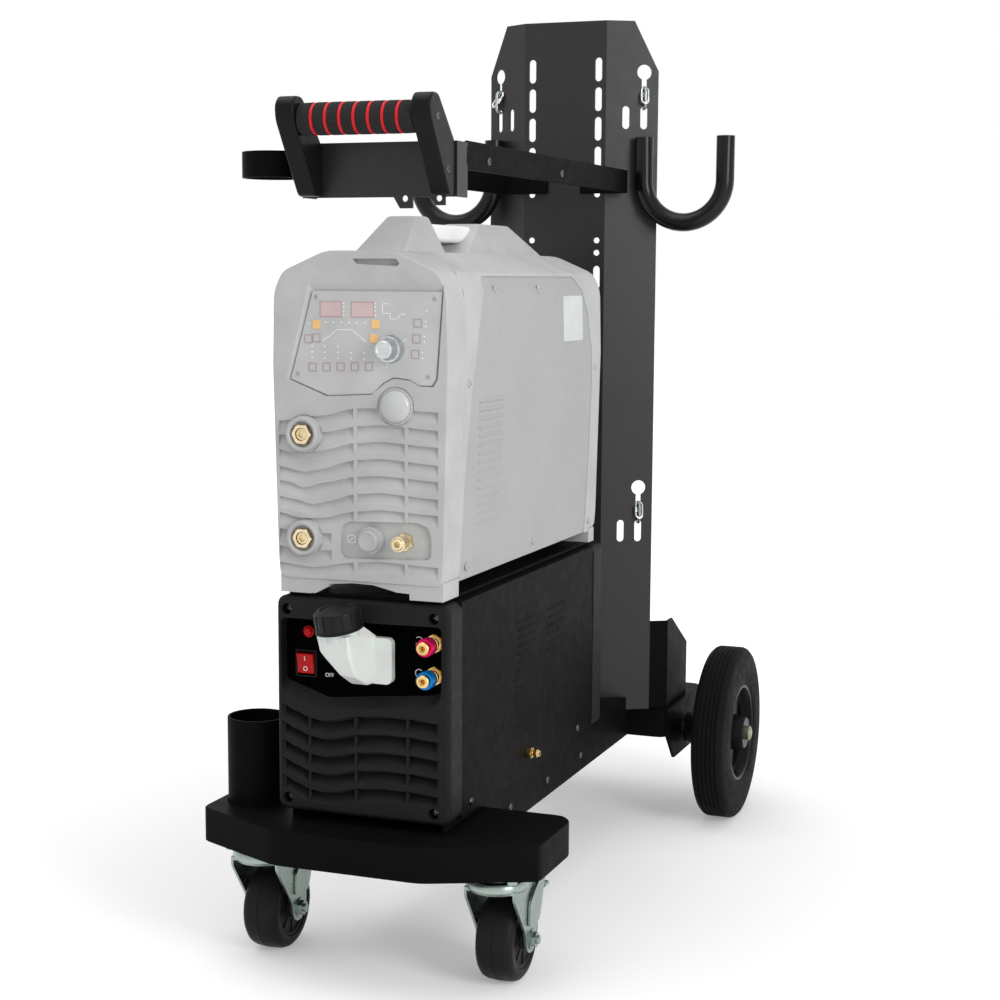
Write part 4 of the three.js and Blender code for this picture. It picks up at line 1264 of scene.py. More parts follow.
# ---- water cooler --------------------------------------------------------------------------------
GRILLE_LEFT, GRILLE_RIGHT = -98.0, 92.0
LOUVRE_TOP = ((-98, 312.1), (-82, 304.8), (-65, 298.6), (-50, 296.2), (-38, 297.6), (-8, 304.2),
              (23, 307.6), (54, 307.2), (92, 304.8))
LOUVRE_STEP = 20.4
LOUVRES = 5
RIBS = (-65.0, -8.5, 54.0)


def add_hood(bm, side, x, y0, y1, z):
    """A pressed louvre hood on a side sheet, closed at both ends."""
    out, tall = side * 1.5, 5.0
    section = [(x - side * 0.5, z + tall), (x + out * 0.62, z + tall * 0.62),
               (x + out, z + tall * 0.2), (x + out * 0.5, z + tall * 0.2),
               (x - side * 0.5, z + tall * 0.45)]
    part = bmesh.new()
    add_prism(part, "y", section, y0 + 3, y1 - 3)
    for way, edge in ((-1, y0), (1, y1)):
        cap = [f for f in part.faces if f.normal.y * way > 0.9]
        verts = corners_of(bmesh.ops.extrude_face_region(part, geom=cap))
        bmesh.ops.delete(part, geom=cap, context="FACES")
        for w in verts:
            w.co = Vector((x - side * 0.3 + (w.co.x - x) * 0.08, edge,
                           w.co.z * 0.7 + (z + tall * 0.6) * 0.3))
    absorb(bm, part)


def side_grille(bm_cuts, bm_hoods, side, at_x, y0, y1, tops):
    for z in tops:
        x = at_x(z) * side
        add_box(bm_cuts, (min(x - 3, x + 3), y0 + 3, z + 0.6), (max(x - 3, x + 3), y1 - 3, z + 3.0))
        add_hood(bm_hoods, side, x, y0, y1, z)


class TROLLEY_OT_cooler_front(bpy.types.Operator):
    """Moulded front of the cooler: recess, wavy louvres and deep screw wells"""
    bl_idname = "trolley.cooler_front"
    bl_label = "Cooler front"

    def execute(self, context):
        depth = context.scene.cooler_look.slot_depth
        low, high = span("cooler_front_bezel")
        top = high.z
        body = bmesh.new()
        add_prism(body, "y", oblong(low.x, low.z, high.x, high.z, 13, 6), low.y, high.y)
        ease(body, 5.5, 5, 60, pick=lambda e: all(w.co.y < low.y + 0.1 for w in e.verts))
        recess = bmesh.new()
        mouth = rounded([(-99, top - 26), (-99, top - 110.3), (-46, top - 128.3), (84, top - 115.3),
                         (94, top - 104.3), (94, top - 24)], 6, 5)
        add_prism(recess, "y", mouth, -3, RECESS)
        # The recess's lower wall slopes up towards its back.
        for w in recess.verts:
            if w.co.y > 1 and w.co.z < top - 80:
                w.co.z += 13
        body = carve(body, recess)
        ease(body, 1.2, 3, 40,
             pick=lambda e: all(w.co.y < 0.1 and abs(w.co.x) < 100 for w in e.verts))
        stops = [GRILLE_LEFT + 1.5] + list(RIBS) + [GRILLE_RIGHT - 1.5]
        for deep, spans in ((2.2, [(GRILLE_LEFT, GRILLE_RIGHT)]),
                            (depth, [(a + 1.5, b - 1.5) for a, b in zip(stops, stops[1:])])):
            cuts = bmesh.new()
            for i in range(LOUVRES):
                line = [(x, z - LOUVRE_STEP * i) for x, z in LOUVRE_TOP]
                for x0, x1 in spans:
                    add_slot(cuts, line, x0, x1, 0, deep, 15.0, roof=deep * 0.4, floor=0.4)
            body = carve(body, cuts)
        wells = bmesh.new()
        corners = [(-92, 419), (85, 419.5), (-92, 204), (85, 203)]
        for x, z in corners:
            add_rod(wells, "y", 6.3, -2, 11, x, z, 32)
        (left, low_z), (right, high_z) = ROCKER_HOLE
        add_box(wells, (left, RECESS - 1, low_z), (right, RECESS + WALL + 1, high_z))
        body = carve(body, wells)
        hollow = bmesh.new()
        inside = oblong(low.x + WALL, low.z + WALL, high.x - WALL, high.z - WALL, 9, 4)
        add_prism(hollow, "y", inside, RECESS + WALL, high.y + 1)
        body = carve(body, hollow)
        remade(body, "cooler_front_bezel", cooler_plastic(), smooth=35)
        places = [(x, 9.5, z) for x, z in corners]
        screws("cooler_front_screws", places, (0, -1, 0), 5.4)
        # A near-black sheet at the back of the recess, a painted shade.
        sheet = bmesh.new()
        inner = [(-98.6, top - 27), (-98.6, top - 97), (-46, top - 114.6), (84, top - 101.6),
                 (93.6, top - 91), (93.6, top - 25)]
        add_prism(sheet, "y", rounded(inner, 6, 5), PANEL_FACE, RECESS)
        hole = bmesh.new()
        add_box(hole, (left, 0, low_z), (right, 30, high_z))
        sheet = carve(sheet, hole)
        piece(sheet, "recess_shade_sheet", recess_black())
        return {"FINISHED"}


class TROLLEY_OT_cooler_case(bpy.types.Operator):
    """Cooler's side sheet with two columns of louvres, its back and the plate on top"""
    bl_idname = "trolley.cooler_case"
    bl_label = "Cooler case"

    def execute(self, context):
        cover = copy_of("cooler_cover")
        ease(cover, 1.4, 3)
        cuts, hoods = bmesh.new(), bmesh.new()
        for side in (-1, 1):
            for y0, y1, first, count in ((211, 280, 378.5, 15), (322, 386, 376.5, 14)):
                tops = [first - i * (first - 241.5) / (count - 1) for i in range(count)]
                side_grille(cuts, hoods, side, lambda z: COOLER_SIDE, y0, y1, tops)
        cover = carve(cover, cuts)
        remade(cover, "cooler_cover", powder_black())
        piece(hoods, "cooler_louvres", powder_black(), smooth=50)
        for name, side in SIDES:
            places = [(COOLER_SIDE * side, y, z) for y, z in ((65, 203), (441, 202))]
            screws("cooler_side_screws_" + name, places, (side, 0, 0), 4.3)
        softened("cooler_stack_plate", 0.6, powder_black())
        self.make_back()
        return {"FINISHED"}

    def make_back(self):
        cuts = bmesh.new()
        for i in range(12):
            for x0, x1 in ((-78, -4), (4, 78)):
                add_box(cuts, (x0, COOLER_BACK - 8, 250 + i * 12),
                        (x1, COOLER_BACK + 2, 255 + i * 12))
        softened("cooler_rear_bezel", 3.2, cooler_plastic(), segments=4, tools=cuts,
                 angle=50)
        places = [(x, COOLER_BACK, z) for x in (-92, 92) for z in (203, 421)]
        screws("cooler_back_screws", places, (0, 1, 0), 4.6)


class TROLLEY_OT_cooler_fittings(bpy.types.Operator):
    """Filler and its cap, rocker switch, lamp, quick couplings, drain and printed marks"""
    bl_idname = "trolley.cooler_fittings"
    bl_label = "Cooler fittings"

    def execute(self, context):
        self.make_filler()
        self.make_cap(context.scene.trolley_look.flutes)
        self.make_rocker()
        low, high = span("cooler_lamp")
        (x, z), radius = middle(low, high), (high.x - low.x) / 2
        lamp = turned("y", [(high.y, 0), (high.y, radius), (high.y - 1.6, radius),
                            (high.y - 1.8, radius - 0.8), (low.y + 2, radius - 1.2),
                            (low.y + 0.8, radius - 2.6), (low.y + 0.1, radius - 4.6), (low.y, 0)], x,
                       z, 40)
        remade(lamp, "cooler_lamp", lamp_red(), smooth=50)
        word("off_word", "OFF", 6.2, -46, 345, PANEL_FACE - 0.05)
        for name, finish, slot in (("supply", supply_anodised(), "red_anodised"),
                                   ("return", return_anodised(), "blue_anodised")):
            self.make_coupling(name, finish, slot)
        drain = bmesh.new()
        low, high = span("drain_fitting")
        y, z = middle(low, high, "yz")
        add_nuts(drain, [(low.x, y, z)], (1, 0, 0), 7.0, 0.72)
        add_turned(drain, "x", [(low.x + 4, 0), (low.x + 4, 5.4), (low.x + 6.4, 5.4),
                                (low.x + 6.8, 4.2), (high.x - 3.4, 4.2), (high.x - 3, 4.9),
                                (high.x - 0.6, 3.7), (high.x, 3.5), (high.x, 2), (high.x - 5, 1.9),
                                (high.x - 5, 0)], y, z, 40)
        remade(drain, "drain_fitting", coupling_brass(), smooth=35)
        return {"FINISHED"}

    def make_filler(self):
        low, high = span("filler_elbow")
        foot = high.y
        elbow = bmesh.new()
        for x, y, z in ((-30, -52, 403), (8, -52, 403), (-30, -13.4, 409.8), (8, -13.4, 409.8),
                        (-28, -47, 384), (6, -47, 382), (-10, -34, 357), (8, -32, 355),
                        (-9, foot, 342.4), (14, foot, 342.4), (14, foot, 393), (-20, foot, 391),
                        (-8, -10, 343), (12, -10, 343)):
            elbow.verts.new((x, y, z))
        bmesh.ops.convex_hull(elbow, input=elbow.verts)
        flatten(elbow, 4)
        ease(elbow, 3.4, 4, 15)
        add_box(elbow, (2, foot - 8.6, low.z - 0.6), (high.x + 1.6, foot, low.z + 51))
        flange = [e for e in elbow.edges
                  if e.is_manifold and e.calc_face_angle(0) > 1.2
                  and abs(e.verts[0].co.z - e.verts[1].co.z) < 60
                  and all(w.co.x in (2, high.x + 1.6) or w.co.x > high.x for w in e.verts)
                  and abs(e.verts[0].co.y - e.verts[1].co.y) > 5]
        bevel(elbow, flange, 7, 5)
        neck = turned("z", [(-9, 0), (-9, 20.4), (-1.6, 20.4), (-0.9, 21.4), (-0.2, 21.4),
                            (-0.2, 0)], steps=56)
        add_shape(elbow, neck, CAP_FOOT, self.cap_axis())
        neck.free()
        remade(elbow, "filler_elbow", tank_plastic(), smooth=50)

    def cap_axis(self):
        tilt = radians(10)
        return Vector((-0.1, -sin(tilt), cos(tilt))).normalized()

    def make_cap(self, flutes):
        shape = turned("z", [(0, 0), (0, 26.9), (1.8, 26.9), (2.3, 25.6), (20, 25.0), (21.8, 24.2),
                             (23.2, 22.4), (23.7, 20), (23.7, 18), (22.5, 17.3), (22.3, 0)],
                       steps=84)
        for i in range(flutes):
            turn = 2 * PI * i / flutes
            at = Matrix.Rotation(turn, 4, "Z") @ Matrix.Translation((25.1, 0, 11.6))
            edges = list({e for w in add_block(shape, at, (2.2, 2.0, 19.4)) for e in w.link_edges})
            bevel(shape, edges, 0.5, 2, clamp=False)
        bm = bmesh.new()
        axis = self.cap_axis()
        add_shape(bm, shape, CAP_FOOT + axis * 0.4, axis)
        shape.free()
        remade(bm, "filler_cap", cap_plastic(), "filler_cap", 40)

    def make_rocker(self):
        softened("cooler_switch", 0.9, lamp_red(), "cooler_switch", segments=3,
                 smooth=50)
        low, high = span("cooler_switch")
        x, z = middle(low, high)
        frame_ring = bmesh.new()
        add_prism(frame_ring, "y", oblong(x - 13.4, z - 15.4, x + 13.4, z + 15.4, 2, 4),
                  RECESS - 2.2, PANEL_FACE)
        ease(frame_ring, 0.6, 2, 60)
        hole = bmesh.new()
        add_box(hole, (x - 10.8, RECESS - 4, z - 13.8), (x + 10.8, RECESS + 2, z + 13.8))
        frame_ring = carve(frame_ring, hole)
        piece(frame_ring, "switch_frame", handle_plastic())
        marks = bmesh.new()
        lean = atan2(3, 11.4)
        place = Matrix.Translation((x, 8.15, z + 6.2)) @ Matrix.Rotation(lean, 4, "X")
        add_block(marks, place, (1.0, 0.3, 5.2))
        add_turned(marks, "y", [(9.8, 1.8), (9.8, 2.7), (10.4, 2.7), (10.4, 1.8)], x, z - 5.6, 32)
        piece(marks, "switch_marks", print_white(), "cooler_switch", smooth=30)

    def make_coupling(self, name, finish, slot):
        node = "coupling_" + name
        low, high = span(node)
        x, z = middle(low, high)
        body = bmesh.new()
        add_nuts(body, [(x, high.y, z)], (0, -1, 0), 10.9, 0.86)
        add_turned(body, "y", [(4.6, 0), (4.6, 8), (2.6, 8), (2.2, 7.2), (1.2, 7.2), (0.8, 8),
                               (-3.6, 8), (-4, 7.4), (-5, 6), (-24, 6), (-24.4, 6.9), (-27.4, 7.1),
                               (low.y, 6.4), (low.y, 4.2), (-26.6, 3.6), (-26.6, 2.9), (-17, 2.7),
                               (-17, 0)], x, z, 56)
        remade(body, node, coupling_brass(), smooth=35)
        node = "sleeve_" + name
        low, high = span(node)
        outer = (high.z - low.z) / 2
        ring = bmesh.new()
        profile = [(low.y, 6.4), (low.y, outer - 1), (low.y + 0.7, outer - 0.1)]
        for at in (low.y + 3.4, low.y + 6.4, low.y + 9.4):
            profile += [(at - 0.7, outer - 0.1), (at - 0.3, outer - 0.9), (at + 0.3, outer - 0.9),
                        (at + 0.7, outer - 0.1)]
        profile += [(high.y - 0.7, outer - 0.1), (high.y, outer - 0.9), (high.y, 6.4)]
        add_turned(ring, "y", profile, x, z, 64)
        remade(ring, node, finish, node, 40)
        spin = -1 if name == "supply" else 1
        lines = arrow(arc(x - 21.5, z, 4.3, 90 - spin * 40, 90 + spin * 230), 2.6)
        flat_mark("flow_mark_" + name, lines, 0.9, PANEL_FACE)


# ---- power source --------------------------------------------------------------------------------
FRONT_ROWS = (
    ((-97, 629), (-45, 636), (-5, 645), (23, 646), (92, 643.5)),
    ((-97, 613.6), (-37, 618.6), (-5, 625.5), (24, 628), (92, 624)),
    ((-97, 598), (-85, 594.6), (-49, 597), (-5, 607.5), (24, 610), (92, 606)),
    ((-97, 579), (-66, 573.6), (-49.5, 577), (-5, 589), (24, 591.5), (92, 587)),
    ((-97, 563.6), (-82, 562), (-69, 556.4), (-37, 564), (-5, 571), (24, 573), (92, 569.5)),
    ((-97, 545.8), (-78, 543.4), (-57, 538.4), (-37, 543), (-5, 552), (24, 554.6), (92, 550.5)),
    ((-97, 528), (-70, 522.5), (-46, 524), (-5, 533), (24, 536), (92, 533)),
    ((-97, 510), (-70, 505), (-34, 507.5)),
    ((-97, 491), (-70, 486), (-34, 489)),
    ((-97, 472.6), (-57.5, 469), (-6, 477), (24, 479.4), (92, 477)),
)
SEAM_FRONT = ((43.2, 400), (43.2, 459), (49.4, 562), (66.8, 670), (84.6, 723), (104, 776))
SEAM_REAR = ((440, 776), (469, 738.5), (484, 690), (487.6, 648), (484.6, 560), (478.6, 473),
             (478.6, 400))


def shell_outline():
    """Outline of the power source's moulded ends."""
    top, base = WELDER_TOP, WELDER_LOW
    half = WELDER_SIDE + 1
    return [(-97, base + 16), (97, base + 16), (99, base + 40), (half, base + 250),
            (half - 2, top - 44), (92, top - 22), (40, top), (-40, top), (-92, top - 22),
            (2 - half, top - 44), (-half, base + 250), (-99, base + 40)]


def welder_side(z):
    """Half width of the power source's side sheet at a height."""
    return along(((WELDER_LOW + 40, 98.0), (WELDER_LOW + 250, WELDER_SIDE),
                  (WELDER_TOP - 44, WELDER_SIDE - 2)), z)


LANDS = ((-66, 615), (-66, 501), (43, 648))     # sockets and badge, as (x, z)
LAND_RADIUS = 21.4


class TROLLEY_OT_welder_front(bpy.types.Operator):
    """Moulded front of the power source: louvres, panel recess, connector inset and feet"""
    bl_idname = "trolley.welder_front"
    bl_label = "Power source front"

    def execute(self, context):
        depth = context.scene.welder_look.slot_depth
        node = "welder_front_bezel"
        low, high = span(node)
        body = bmesh.new()
        add_prism(body, "y", rounded(shell_outline(), 9, 4), low.y, high.y)
        feet = bmesh.new()
        for x0, x1 in ((-97, -60), (58, 97)):
            add_box(feet, (x0, low.y + 2, WELDER_LOW), (x1, high.y, WELDER_LOW + 20))
        body = carve(body, feet, "UNION")
        apron = bmesh.new()
        add_prism(apron, "y", [(-61, 458), (-61, 439.6), (-55, 439.6), (-38, 448.5), (-38, 451),
                               (-9.6, 453.4), (15, 452.8), (43, 446.5), (59, 445.8), (59, 458)],
                  WELDER_FACE + 2, WELDER_FACE + 14)
        body = carve(body, apron, "UNION")
        ease(body, 3.2, 4, 40, pick=lambda e: all(w.co.y < WELDER_FACE + 0.1 for w in e.verts))
        hollow = bmesh.new()
        inside = [(x * 0.95, max(z, WELDER_LOW + 21) if z < WELDER_LOW + 100 else z - 5)
                  for x, z in shell_outline()]
        add_prism(hollow, "y", inside, 12, high.y + 1)
        body = carve(body, hollow)
        cuts = bmesh.new()
        for row in FRONT_ROWS:
            pieces = ((-97, -7.0), (-3.2, 53.2), (56.8, 92)) if row[-1][0] > 0 else ((-97, -34),)
            for x0, x1 in pieces:
                add_slot(cuts, row, x0, x1, WELDER_FACE, depth, 13.0, roof=2.6, floor=0.15)
        body = carve(body, cuts)
        body = carve(body, self.panel_pocket())
        more = bmesh.new()
        inset = [(-23, 510), (-20, 518), (-12, 521.5), (68, 524), (81, 519), (84.5, 507),
                 (84.5, 488), (80, 484), (-18, 480.5), (-23, 486)]
        add_prism(more, "y", rounded(inset, 3, 3), WELDER_FACE - 2, 0)
        notch = [(-8, 804.6), (-4, 799), (44, 796.6), (48, 799), (44, 804.6)]
        add_prism(more, "y", rounded(notch, 2, 3), WELDER_FACE - 2, WELDER_FACE + 7)
        radius = LAND_RADIUS
        for x, z in LANDS:
            add_turned(more, "y", [(WELDER_FACE - 2, radius), (WELDER_FACE + 1.2, radius),
                                   (WELDER_FACE + 1.2, radius - 1.6),
                                   (WELDER_FACE - 2, radius - 1.6)], x, z, 72)
        body = carve(body, more)
        remade(body, node, pale_moulding(), smooth=35)
        self.make_lands()
        return {"FINISHED"}

    def panel_pocket(self):
        """Recess for the control panel, its upper and left walls sloping like a visor."""
        low, high = span("welder_control_panel")
        pocket = copy_of("welder_control_panel")
        for w in pocket.verts:
            front = w.co.y < (low.y + high.y) / 2
            w.co.x += 1.2 if w.co.x > 20 else -1.2
            w.co.z += 1.2 if w.co.z > high.z - 20 else -1.2
            w.co.y = WELDER_FACE - 1 if front else 0
            if front and w.co.z > high.z - 20:
                w.co.z += 8
            if front and w.co.x < -30:
                w.co.x -= 5
            if front and w.co.x > 80:
                w.co.x += 2
        return pocket

    def make_lands(self):
        """Flat round lands that stand in the louvres under the sockets and the badge."""
        lands = bmesh.new()
        radius = LAND_RADIUS
        for x, z in LANDS:
            add_turned(lands, "y", [(WELDER_FACE + 5, 0), (WELDER_FACE + 5, radius - 1.4),
                                    (WELDER_FACE + 0.4, radius - 1.4),
                                    (WELDER_FACE - 0.1, radius - 2), (WELDER_FACE - 0.1, 0)], x, z,
                       72)
        piece(lands, "socket_lands", pale_moulding(), smooth=35)


class TROLLEY_OT_welder_case(bpy.types.Operator):
    """Side sheet with louvres, the moulded wrap round its edges, the back and the carrying bar"""
    bl_idname = "trolley.welder_case"
    bl_label = "Power source case"

    def execute(self, context):
        cover = copy_of("welder_cover")
        cuts, hoods = bmesh.new(), bmesh.new()
        tops = [512.5 + i * (647.5 - 512.5) / 14 for i in range(15)]
        for side in (-1, 1):
            side_grille(cuts, hoods, side, welder_side, 89, 167, tops)
        cover = carve(cover, cuts)
        remade(cover, "welder_cover", pale_sheet())
        piece(hoods, "welder_louvres", pale_sheet(), smooth=50)
        self.make_wrap()
        self.make_back()
        self.make_bar()
        for name, side in SIDES:
            places = [(welder_side(z) * side, y, z) for y, z in ((281, 469), (141, 772), (285, 772))]
            screws("cover_screws_" + name, places, (side, 0, 0), 4.4, pale=True)
            places = [(welder_side(z) * side + side * 0.9, y, z)
                      for y, z in ((63, 469), (492, 469), (494, 671), (56, 671))]
            screws("wrap_screws_" + name, places, (side, 0, 0), 4.4, pale=True)
            self.make_label(name, side)
        return {"FINISHED"}

    def make_wrap(self):
        """Moulding that laps over the sheet in front of, above and behind it."""
        wrap = copy_of("welder_cover")
        window = bmesh.new()
        seam = [*SEAM_FRONT, (112, 786), (430, 786), *SEAM_REAR]
        add_prism(window, "x", rounded(seam, 9, 3), -130, 130)
        wrap = carve(wrap, window)
        low, high = span("welder_cover")
        core = Vector((0, *middle(low, high, "yz")))
        half = high.z - core.z
        grow = Matrix.Diagonal(((high.x + 0.95) / high.x, 1, (half + 0.9) / half, 1))
        wrap.transform(Matrix.Translation(core) @ grow @ Matrix.Translation(-core))
        piece(wrap, "welder_wrap", pale_moulding(), smooth=35)

    def make_back(self):
        cuts = bmesh.new()
        for i in range(13):
            for x0, x1 in ((-72, -3), (3, 72)):
                add_box(cuts, (x0, WELDER_BACK - 8, 585 + i * 7.4 - 8),
                        (x1, WELDER_BACK + 2, 588.6 + i * 7.4 - 8))
        softened("welder_rear_bezel", 2.4, pale_moulding(), segments=3, tools=cuts,
                 angle=45)
        places = [(x, WELDER_BACK, z) for x in (-84, 84) for z in (480, 770)]
        screws("welder_back_screws", places, (0, 1, 0), 4.4, pale=True)
        softened("mains_switch", 0.9, handle_plastic(), "mains_switch", segments=2,
                 angle=40)
        low, high = span("mains_gland")
        x, z = middle(low, high)
        gland = bmesh.new()
        add_nuts(gland, [(x, low.y, z)], (0, 1, 0), 13.9, 0.56)
        profile = [(low.y + 7, 0), (low.y + 7, 11), (low.y + 9, 11)]
        for i in range(5):
            profile += [(low.y + 9.6 + i * 1.6, 9.6), (low.y + 10.4 + i * 1.6, 10.6)]
        profile += [(high.y - 3, 9.2), (high.y, 7.4), (high.y, 5), (high.y - 8, 5), (high.y - 8, 0)]
        add_turned(gland, "y", profile, x, z, 48)
        remade(gland, "mains_gland", cap_plastic(), smooth=35)

    def make_bar(self):
        high = span("welder_handle")[1]
        base = WELDER_TOP - 0.6
        blocks = bmesh.new()
        for near, far in (((31, 50, 166), (19, 112, 143, high.z)),
                          ((34, 222, 486), (22, 288, 392, high.z - 4))):
            part = bmesh.new()
            for x in (-1, 1):
                for y in near[1:]:
                    part.verts.new((near[0] * x, y, base))
                for y in far[1:3]:
                    part.verts.new((far[0] * x, y, far[3]))
            bmesh.ops.convex_hull(part, input=part.verts)
            absorb(blocks, part)
        bmesh.ops.dissolve_limit(blocks, angle_limit=0.02, verts=blocks.verts, edges=blocks.edges)
        ease(blocks, 3.4, 4, 20, pick=lambda e: any(w.co.z > base + 1 for w in e.verts))
        remade(blocks, "welder_handle", pale_moulding(), smooth=40)
        bar = bmesh.new()
        section = [(-13, 12.2), (13, 12.2), (17, 16), (17, 28), (12, 32.6), (-12, 32.6), (-17, 28),
                   (-17, 16)]
        section = [(x, WELDER_TOP + z) for x, z in section]
        add_prism(bar, "y", rounded(section, 3, 4), 120, 320)
        piece(bar, "carry_bar", pale_bar(), smooth=50)

    def make_label(self, name, side):
        """Blank plate where the rating plate sits."""
        plate = bmesh.new()
        add_prism(plate, "x", oblong(374, 707, 448, 763, 2.5, 3), 0, 0.5)
        for w in plate.verts:
            w.co.x = side * (welder_side(w.co.z) - 0.1 + w.co.x)
        piece(plate, "blank_plate_" + name, sticker_film(), smooth=30)


class TROLLEY_OT_welder_controls(bpy.types.Operator):
    """Control panel film with keys and read-outs, encoder knob, sockets, gas outlet and badge"""
    bl_idname = "trolley.welder_controls"
    bl_label = "Power source controls"

    def execute(self, context):
        softened("welder_control_panel", 0, panel_film())
        face = span("welder_control_panel")[0].y
        self.make_keys(face)
        self.make_print(face)
        self.make_knob()
        for node in ("output_socket_upper", "output_socket_lower"):
            self.make_socket(node)
        self.make_connectors()
        self.make_badge()
        return {"FINISHED"}

    def make_keys(self, face):
        windows, keys, outlines = bmesh.new(), bmesh.new(), bmesh.new()
        readouts = ((-46, -22), (-9, 16))
        for x0, x1 in readouts:
            add_prism(windows, "y", oblong(x0, 743, x1, 758, 1, 3), face - 0.35, face + 0.2)
        ease(windows, 0.15, 1, 60)
        piece(windows, "readout_windows", readout_window(), smooth=30)
        for x, z in ((-51, 734), (19, 735), (17, 720)):
            add_prism(keys, "y", oblong(x - 4.6, z - 4.6, x + 4.6, z + 4.6, 1, 3), face - 0.7,
                      face + 0.2)
        ease(keys, 0.25, 2, 60)
        piece(keys, "lit_keys", lit_key(), smooth=30)
        squares = [(-56 + 16.8 * i, 688 + 0.5 * i) for i in range(5)] + [(68, 737), (66.5, 720.5),
                                                                         (65, 704)]
        squares += [(-51, 719.5), (-61, 718.5)]
        pads = bmesh.new()
        for x, z in squares:
            half = 4.7
            hole = half - 0.75
            add_box(outlines, (x - half, face - 0.3, z - half), (x + half, face, z - hole))
            add_box(outlines, (x - half, face - 0.3, z + hole), (x + half, face, z + half))
            add_box(outlines, (x - half, face - 0.3, z - hole), (x - hole, face, z + hole))
            add_box(outlines, (x + hole, face - 0.3, z - hole), (x + half, face, z + hole))
            add_prism(pads, "y", oblong(x - 3.4, z - 3.4, x + 3.4, z + 3.4, 1, 2),
                      face - 0.35, face + 0.1)
        for x0, x1 in readouts:
            for low, high in (((x0 - 1, 742), (x1 + 1, 743)), ((x0 - 1, 758), (x1 + 1, 759)),
                              ((x0 - 1, 743), (x0, 758)), ((x1, 743), (x1 + 1, 758))):
                add_box(outlines, (low[0], face - 0.2, low[1]), (high[0], face, high[1]))
        piece(outlines, "key_outlines", key_outline(), smooth=20, weighted=False)
        piece(pads, "key_pads", panel_film(), smooth=30)

    def make_print(self, face):
        """Indicator dots, the current slope line and the arcs round the knob."""
        dots = bmesh.new()
        places = [(-59.5, 735)] + [(x, 736.6) for x in (-40, -31, -21.3, -12.3, -3.2, 6.5)]
        places += [(x, z) for x in (-56.5, -41.5, -25.8) for z in (710.9, 704.4, 698)]
        places += [(x, z) for x in (-10, 5.7) for z in (704.4, 698)]
        places += [(x, z) for x in (-18.5, 18.6) for z in (744.5, 749, 753.5, 757)]
        places += [(78, 750), (77, 738.7), (77, 733.7), (75.6, 723), (75.6, 717.3), (73.5, 706),
                   (73.5, 700)]
        for x, z in places:
            add_rod(dots, "y", 0.95, face - 0.25, face + 0.1, x, z, 14)
        piece(dots, "indicator_dots", print_white(), smooth=30)
        lines = [[(-43.7, 717), (-34, 722.6), (-27, 728.8), (-9.5, 728.8), (0, 722), (8, 716)]]
        for start, stop in ((205, 262), (-20, 38)):
            lines += arrow(arc(37, 709, 18.2, start, stop), 3.4)
        lines += [[(27, 747), (27, 757), (34, 757)], [(27, 747), (36, 747), (36, 741), (44, 741),
                                                      (48, 746), (54, 746)]]
        lines += [[(64.6, 739.6), (67.6, 735)], [(67.6, 739.6), (71, 735)]]
        flat_mark("panel_lines", lines, 0.8, face)
        corners = [(x, face - 0.1, z) for x, z in ((-50.5, 764), (88, 763), (80.7, 681),
                                                   (-73, 680.5))]
        screws("panel_screws", corners, (0, -1, 0), 2.6, pale=True)

    def make_knob(self):
        low, high = span("encoder_knob")
        x, z = middle(low, high)
        knob = bmesh.new()
        add_rod(knob, "y", 10.2, low.y + 0.8, low.y + 13.5, x, z, 10, end=13.2)
        ease(knob, 0.9, 2, 20)
        add_turned(knob, "y", [(high.y, 0), (high.y, 14.9), (high.y - 2, 14.9), (high.y - 3.4, 14.2),
                                (low.y + 13, 13.8), (low.y + 12, 0)], x, z, 72)
        add_turned(knob, "y", [(low.y + 2, 0), (low.y + 2, 9.2), (low.y + 0.4, 9.0), (low.y, 8.4),
                               (low.y, 7.2), (low.y + 0.5, 6.8), (low.y + 0.5, 0)], x, z, 56)
        remade(knob, "encoder_knob", knob_metal(), "encoder_knob", 28)

    def make_socket(self, node):
        low, high = span(node)
        (x, z), radius = middle(low, high), (high.x - low.x) / 2
        ring = turned("y", [(high.y, 12), (high.y, radius - 0.4), (high.y - 1.2, radius),
                            (low.y + 3.4, radius - 0.8), (low.y + 2.2, radius - 2),
                            (low.y + 2, radius - 3.6), (low.y + 2.8, radius - 5.2),
                            (low.y + 4.6, radius - 6.2), (high.y - 0.8, 13), (high.y - 0.8, 12)], x,
                      z, 72)
        floor = [(high.y, 0), (high.y, 13.4), (high.y - 1.2, 13.4), (high.y - 1.2, 0)]
        add_turned(ring, "y", floor, x, z, 56)
        piece(ring, "socket_ring_" + node[14:], pale_ring(), smooth=50)
        brass = bmesh.new()
        add_nuts(brass, [(x, high.y - 1.1, z)], (0, -1, 0), 11.6, 0.62, 0.62, 0.5)
        add_turned(brass, "y", [(high.y - 1.2, 0), (high.y - 1.2, 6.6), (high.y - 6.4, 6.6),
                                (high.y - 7, 6.0), (high.y - 7, 4.4), (high.y - 2.4, 4.2),
                                (high.y - 2.4, 0)], x, z, 48)
        add_block(brass, Matrix.Translation((x + 4.1, high.y - 4.2, z)), (1.6, 5, 2.4))
        remade(brass, node, socket_brass(), smooth=35)

